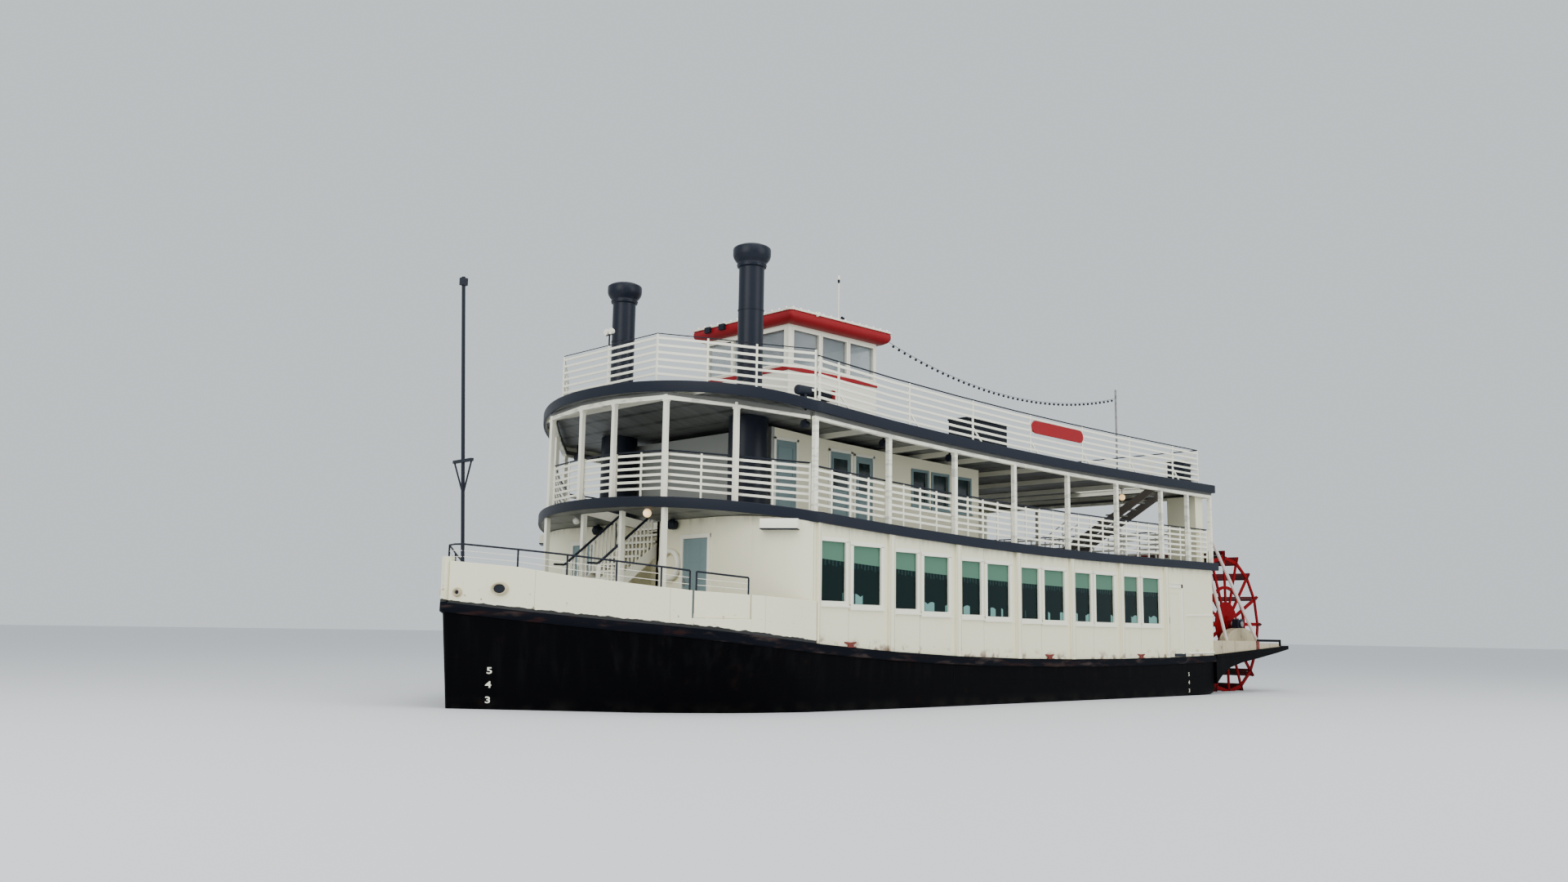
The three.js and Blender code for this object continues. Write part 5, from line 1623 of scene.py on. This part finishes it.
class STEAMER_OT_fantail(bpy.types.Operator):
    """Builds the arms beside the wheel with their bearings and stays"""

    bl_idname = "steamer.fantail"
    bl_label = "Fantail arms"

    ARM = [
        (-9.66, 0.34), (-10.0, 0.58), (-10.6, 0.85), (-11.4, 1.0), (-12.6, 1.14), (-14.0, 1.32),
        (-14.76, 1.43), (-14.76, 1.555), (-9.66, 1.255),
    ]
    TROUGH = [
        (-9.66, 1.26), (-14.2, 1.51), (-14.1, 1.63), (-12.5, 1.63), (-12.45, 1.7), (-9.66, 1.7),
    ]
    STAYS = (((-9.96, 4.95), (-12.95, 1.6)), ((-9.72, 4.02), (-10.76, 1.68)))

    def execute(self, context):
        x, axis = WHEEL_AT.x, WHEEL_AT.z
        steps = [math.radians(a) for a in range(0, 181, 6)]
        cap = [(x + 1.03 * math.cos(a), 1.69 + 0.44 * math.sin(a)) for a in steps]
        for side_name, side in SIDES:
            name = "fantail_" + side_name
            arm = Form(name + "_arm", "hull", "lead")
            arm.slab(self.ARM, on(side, 4.25, 5.2))
            arm.bar((-9.66, 5.2 * side, 1.2), (-14.76, 5.2 * side, 1.5), 0.03, 0.12)
            arm.bar((-12.52, 5.165 * side, 1.72), (-14.24, 5.165 * side, 1.72), 0.02, 0.08)
            arm.block((-14.26, -14.14), on(side, 5.15, 5.185), (1.54, 1.76))
            arm.block((-12.66, -12.48), on(side, 5.15, 5.19), (1.4, 1.7), 1)
            arm.settle(replaces=[name], rounding=0.01)
            trough = Form(name + "_trough", "cream")
            trough.slab(self.TROUGH, on(side, 4.27, 5.16))
            for seam in (-10.35, -11.05, -11.7, -12.3):
                ends = ((seam, 5.165 * side, z) for z in (1.3, 1.68))
                trough.bar(*ends, 0.05, 0.015, up=(0, 1, 0))
            trough.slab(cap, on(side, 4.31, 4.6))
            trough.settle(rounding=0.008)
            block = Form(name + "_bearing", "black", "steel")
            block.block((x - 0.2, x + 0.2), on(side, 4.36, 4.58), (1.99, 2.42))
            block.turned([(0.13, y) for y in on(side, 4.5, 4.62)], (x, 0, axis), "Y", 40)
            bolt = [(0.028, 2.42), (0.028, 2.46), (0.02, 2.47)]
            for dx in (-0.14, 0.14):
                for y in (4.42, 4.52):
                    block.turned(bolt, (x + dx, y * side, 0), sides=6, finish=1)
            block.settle(slot="black_paint", rounding=0.008)
            lines = [[(end[0], 5.0 * side, end[1]) for end in stay] for stay in self.STAYS]
            tubes(name + "_stays", lines, 0.05, "stay", 20)
        return {"FINISHED"}


class STEAMER_OT_fittings(bpy.types.Operator):
    """Builds the cleats, fairleads, numerals, deck boxes and lamps, and finishes the masts"""

    bl_idname = "steamer.fittings"
    bl_label = "Fittings"

    CLEAT = (
        (-0.2, 0.02, 0.1, 0.13), (-0.12, 0.03, 0.07, 0.125), (0, 0.035, 0.06, 0.115),
        (0.12, 0.03, 0.07, 0.125), (0.2, 0.02, 0.1, 0.13),
    )
    FIGURES = (
        ("5", 14.2, 0.83), ("4", 14.19, 0.53), ("3", 14.17, 0.2), ("5", -8.0, 0.65),
        ("4", -8.0, 0.4), ("3", -8.0, 0.15),
    )
    BOLD = (0.195, 0.003, 1.45)
    PLAIN = (0.16, 0.0, 1.0)

    def execute(self, context):
        dress("black", "jackstaff")
        dress("steel", "signal_mast")
        self.cleats()
        self.fairleads()
        self.numerals()
        self.deck_goods()
        self.flood_lamps()
        self.festoon()
        return {"FINISHED"}

    def cleats(self):
        pattern = Form("cleat", "lead")
        pattern.loft([
            [Vector((x, y, z)) for y, z in ((-w, base), (w, base), (w, top), (-w, top))]
            for x, w, base, top in self.CLEAT
        ])
        pattern.block((-0.09, 0.09), (-0.04, 0.04), (0.0, 0.07))
        pattern.block((-0.14, 0.14), (-0.07, 0.07), (-0.001, 0.02))
        xs = (7.36, -0.55, -5.24)
        places = [(x, (HALF_BEAM - 0.08) * side, main_deck(x)) for x in xs for _, side in SIDES]
        copies("deck_cleats", pattern, places, rounding=0.006)

    def fairleads(self):
        eyes = Form("bow_fairleads", "cream", "black")
        for x, y, z, wide, high in (
            (14.2, 1.075, 2.6, 0.165, 0.12), (14.78, 0.29, 2.515, 0.075, 0.07),
        ):
            for _, side in SIDES:
                centre = Vector((x, y * side, z))
                out = Vector((1.32, side, 0)).normalized()
                run = Vector((1.0, -1.32 * side, 0)).normalized()
                rays = [
                    run * math.cos(a) * wide + Vector((0, 0, high * math.sin(a)))
                    for a in around(28)
                ]
                eyes.loft([
                    [centre + ray * (1 + 0.036 / wide * math.cos(b)) + out * 0.085 * math.sin(b)
                     for b in around(10)]
                    for ray in rays
                ], looped=True)
                # Painted shade: a black sheet across each ring stands for the dark opening through
                # the bulwark.
                hole = [[centre + ray + out * step for ray in rays] for step in (0.022, 0.026)]
                eyes.loft(hole, 1)
        eyes.settle()

    def numerals(self):
        """Draft figures on the bow and the quarter."""
        gathered = bmesh.new()
        for side in (1, -1):
            for text, x, z in self.FIGURES:
                curve = bpy.data.curves.new("figure", "FONT")
                curve.body = text
                curve.size, curve.offset, stretch = self.BOLD if x > 0 else self.PLAIN
                curve.align_x = "CENTER"
                curve.align_y = "CENTER"
                curve.extrude = 0.003
                letter = linked("figure", curve)
                depsgraph = bpy.context.evaluated_depsgraph_get()
                flat = bpy.data.meshes.new_from_object(letter.evaluated_get(depsgraph))
                bpy.data.objects.remove(letter)
                place, right, up = self.on_hull(x, z, side)
                out = right.cross(up)
                turn = Matrix((right * stretch, up, out)).transposed().to_4x4()
                flat.transform(Matrix.Translation(place + out * 0.004) @ turn)
                gathered.from_mesh(flat)
        mesh = bpy.data.meshes.new("draft_figures")
        gathered.to_mesh(mesh)
        gathered.free()
        mesh.materials.clear()
        mesh.materials.append(FINISH["white"])
        settled("draft_figures", mesh, "white")

    def on_hull(self, x, z, side):
        """A place on the hull side, with its rightward and upward directions."""
        if x < 0:
            place = Vector((x, (HALF_BEAM - 0.07) * side, z))
            return place, Vector((-side, 0, 0)), Vector((0, 0, 1))

        def skin(px, pz):
            low = along(STEAMER_OT_hull.BILGE_HALF, min(px, 13.95))
            share = (pz + 0.1) / (main_deck(px) - RUB_HEIGHT + 0.1)
            fore = (px - 13.95) / (14.74 + (14.93 - 14.74) * share - 13.95)
            wide = low + (along(BOW_PLAN, min(px, 13.95)) - 0.07 - low) * share
            return Vector((px, (wide + (0.035 - wide) * max(fore, 0)) * side, pz))

        place = skin(x, z)
        right = ((skin(x + 0.05, z) - place) * -side).normalized()
        above = skin(x, z + 0.05) - place
        return place, right, (above - right * above.dot(right)).normalized()

    def deck_goods(self):
        """The blank board, the boxes behind the railings and a cylinder."""
        board = Form("rail_board", "red")
        ends = ((-2.15, 90), (0.0, -90))
        shape = [
            Vector((centre, 0, 0)) + polar(0.18, math.radians(start + a))
            for centre, start in ends for a in range(0, 181, 15)
        ]
        board.slab([(p.x, deck_3(p.x) + 0.75 + p.y) for p in shape], (5.135, 5.165))
        board.settle(rounding=0.006)
        boxes = Form("deck_lockers", "black")
        for (x0, x1), height in (((0.97, 2.75), 0.68), ((-8.93, -8.5), 0.72)):
            foot = deck_3((x0 + x1) / 2)
            top = foot + height
            boxes.block((x0, x1), (4.3, 4.9), (foot + 0.004, top - 0.05))
            boxes.block((x0 - 0.02, x1 + 0.02), (4.28, 4.92), (top - 0.05, top))
        boxes.settle(rounding=0.012)
        roll = Form("rail_cylinder", "black", "red")
        for x in (8.1, 8.75):
            roll.block((x - 0.04, x + 0.04), (4.8, 4.96), (deck_3(x) - 0.01, 7.2))
        roll.block((7.8, 7.9), (4.77, 4.99), (7.16, 7.4), 1)
        profile = [(0.05, 7.9), (0.11, 7.92), (0.12, 7.96), (0.12, 8.9), (0.11, 8.95), (0.05, 8.97)]
        roll.turned(profile, (0, 4.88, 7.29), "X", 28)
        roll.settle()

    def flood_lamps(self):
        floods = Form("flood_lamps", "black", "white")
        for y in (-1.28, -0.68):
            floods.block((6.42, 6.52), (y - 0.11, y + 0.11), (10.02, 10.18))
        top = deck_3(10.76) + 1.22
        floods.bar((10.76, 0, top), (10.76, 0, top + 0.3), 0.03, 0.03, up=(1, 0, 0))
        floods.bar((10.76, -0.14, top + 0.28), (10.76, 0.14, top + 0.28), 0.025, 0.025)
        shade = [(0.03, -0.1), (0.06, -0.07), (0.085, 0.0), (0.08, 0.02)]
        for y in (-0.1, 0.1):
            floods.turned(shade, (10.79, y, top + 0.36), "X", 24, 1)
        floods.settle()

    def festoon(self):
        start, end, sag = Vector((2.55, 1.95, 9.95)), Vector((-9.15, 2.05, 9.9)), 0.765
        shares = [i / 48 for i in range(49)]
        points = [start.lerp(end, t) - Vector((0, 0, sag * 4 * t * (1 - t))) for t in shares]
        tubes("festoon_wire", [points], 0.006, "black", 6, slot=None)
        lamp = Form("festoon_lamp", "black")
        lamp.turned(ball(0.04, 6), (0, 0, -0.05), sides=8)
        copies("festoon_lamps", lamp, points[1:-1], slot=None)


class STEAMER_OT_stage(bpy.types.Operator):
    """Sets up the camera, the floor on the water plane and the soft light"""

    bl_idname = "steamer.stage"
    bl_label = "Camera, floor and lights"

    PLACE = Vector((29.223, 25.682, 1.789))
    YAW, PITCH, ROLL = -133.699, 8.41, 0.915
    LIGHTS = (
        ("sky_soft", (10, 22, 38), 11000, 40, (0.96, 0.98, 1.0)),
        ("bow_soft", (42, 8, 20), 6300, 24, (1.0, 0.99, 0.97)),
        ("side_soft", (-6, 46, 16), 6300, 26, (1.0, 0.99, 0.98)),
    )

    def execute(self, context):
        self.camera(context.scene)
        floor = Form("studio_floor")
        floor.block((-400, 400), (-400, 400), (-0.02, 0.0))
        mesh = floor.to_mesh()
        mesh.materials.append(floor_paint())
        linked("studio_floor", mesh)
        for name, place, energy, size, colour in self.LIGHTS:
            light = bpy.data.lights.new(name, "AREA")
            light.energy = energy
            light.size = size
            light.color = colour
            lamp = linked(name, light)
            lamp.location = place
            aim = Vector((0, 0, 4)) - Vector(place)
            lamp.rotation_euler = aim.to_track_quat("-Z", "Y").to_euler()
        world = bpy.data.worlds.new("studio_air")
        world.use_nodes = True
        backdrop = world.node_tree.nodes["Background"]
        backdrop.inputs["Color"].default_value = (0.84, 0.91, 0.95, 1)
        backdrop.inputs["Strength"].default_value = 0.92
        context.scene.world = world
        return {"FINISHED"}

    def camera(self, scene):
        yaw, pitch, roll = (math.radians(v) for v in (self.YAW, self.PITCH, self.ROLL))
        ahead = polar(math.cos(pitch), yaw, math.sin(pitch))
        level = Vector((math.sin(yaw), -math.cos(yaw), 0))
        above = level.cross(ahead)
        right = level * math.cos(roll) + above * math.sin(roll)
        up = above * math.cos(roll) - level * math.sin(roll)
        lens = bpy.data.cameras.new("view_from_the_bow")
        lens.lens = 29.49
        lens.sensor_width = 36
        lens.clip_end = 2000
        camera = linked("view_from_the_bow", lens)
        turn = Matrix((right, up, -ahead)).transposed().to_4x4()
        camera.matrix_world = Matrix.Translation(self.PLACE) @ turn
        scene.camera = camera


STEPS = (
    STEAMER_OT_stage, STEAMER_OT_hull, STEAMER_OT_bulwark, STEAMER_OT_house, STEAMER_OT_decks,
    STEAMER_OT_cabin, STEAMER_OT_funnels, STEAMER_OT_stairs, STEAMER_OT_pilothouse,
    STEAMER_OT_wheel, STEAMER_OT_fantail, STEAMER_OT_fittings,
)


class STEAMER_PT_panel(bpy.types.Panel):
    """Lists the sizes, the colours and the steps of the steamer"""

    bl_idname = "STEAMER_PT_panel"
    bl_label = "Paddle steamer"
    bl_space_type = "VIEW_3D"
    bl_region_type = "UI"
    bl_category = "Steamer"

    def draw(self, context):
        layout = self.layout
        for group in (context.scene.steamer_sizes, context.scene.steamer_paints):
            box = layout.box()
            for field in group.__annotations__:
                box.prop(group, field)
        for step in STEPS:
            layout.operator(step.bl_idname)


CLASSES = (SteamerPaints, SteamerSizes, *STEPS, STEAMER_PT_panel)


def register():
    for each in CLASSES:
        bpy.utils.register_class(each)
    bpy.types.Scene.steamer_paints = PointerProperty(type=SteamerPaints)
    bpy.types.Scene.steamer_sizes = PointerProperty(type=SteamerSizes)


def unregister():
    del bpy.types.Scene.steamer_sizes
    del bpy.types.Scene.steamer_paints
    for each in reversed(CLASSES):
        bpy.utils.unregister_class(each)


def main():
    register()
    FINISH.update(make_finishes())
    for step in STEPS:
        getattr(bpy.ops.steamer, step.bl_idname.split(".")[1])()


if __name__ == "__main__":
    main()
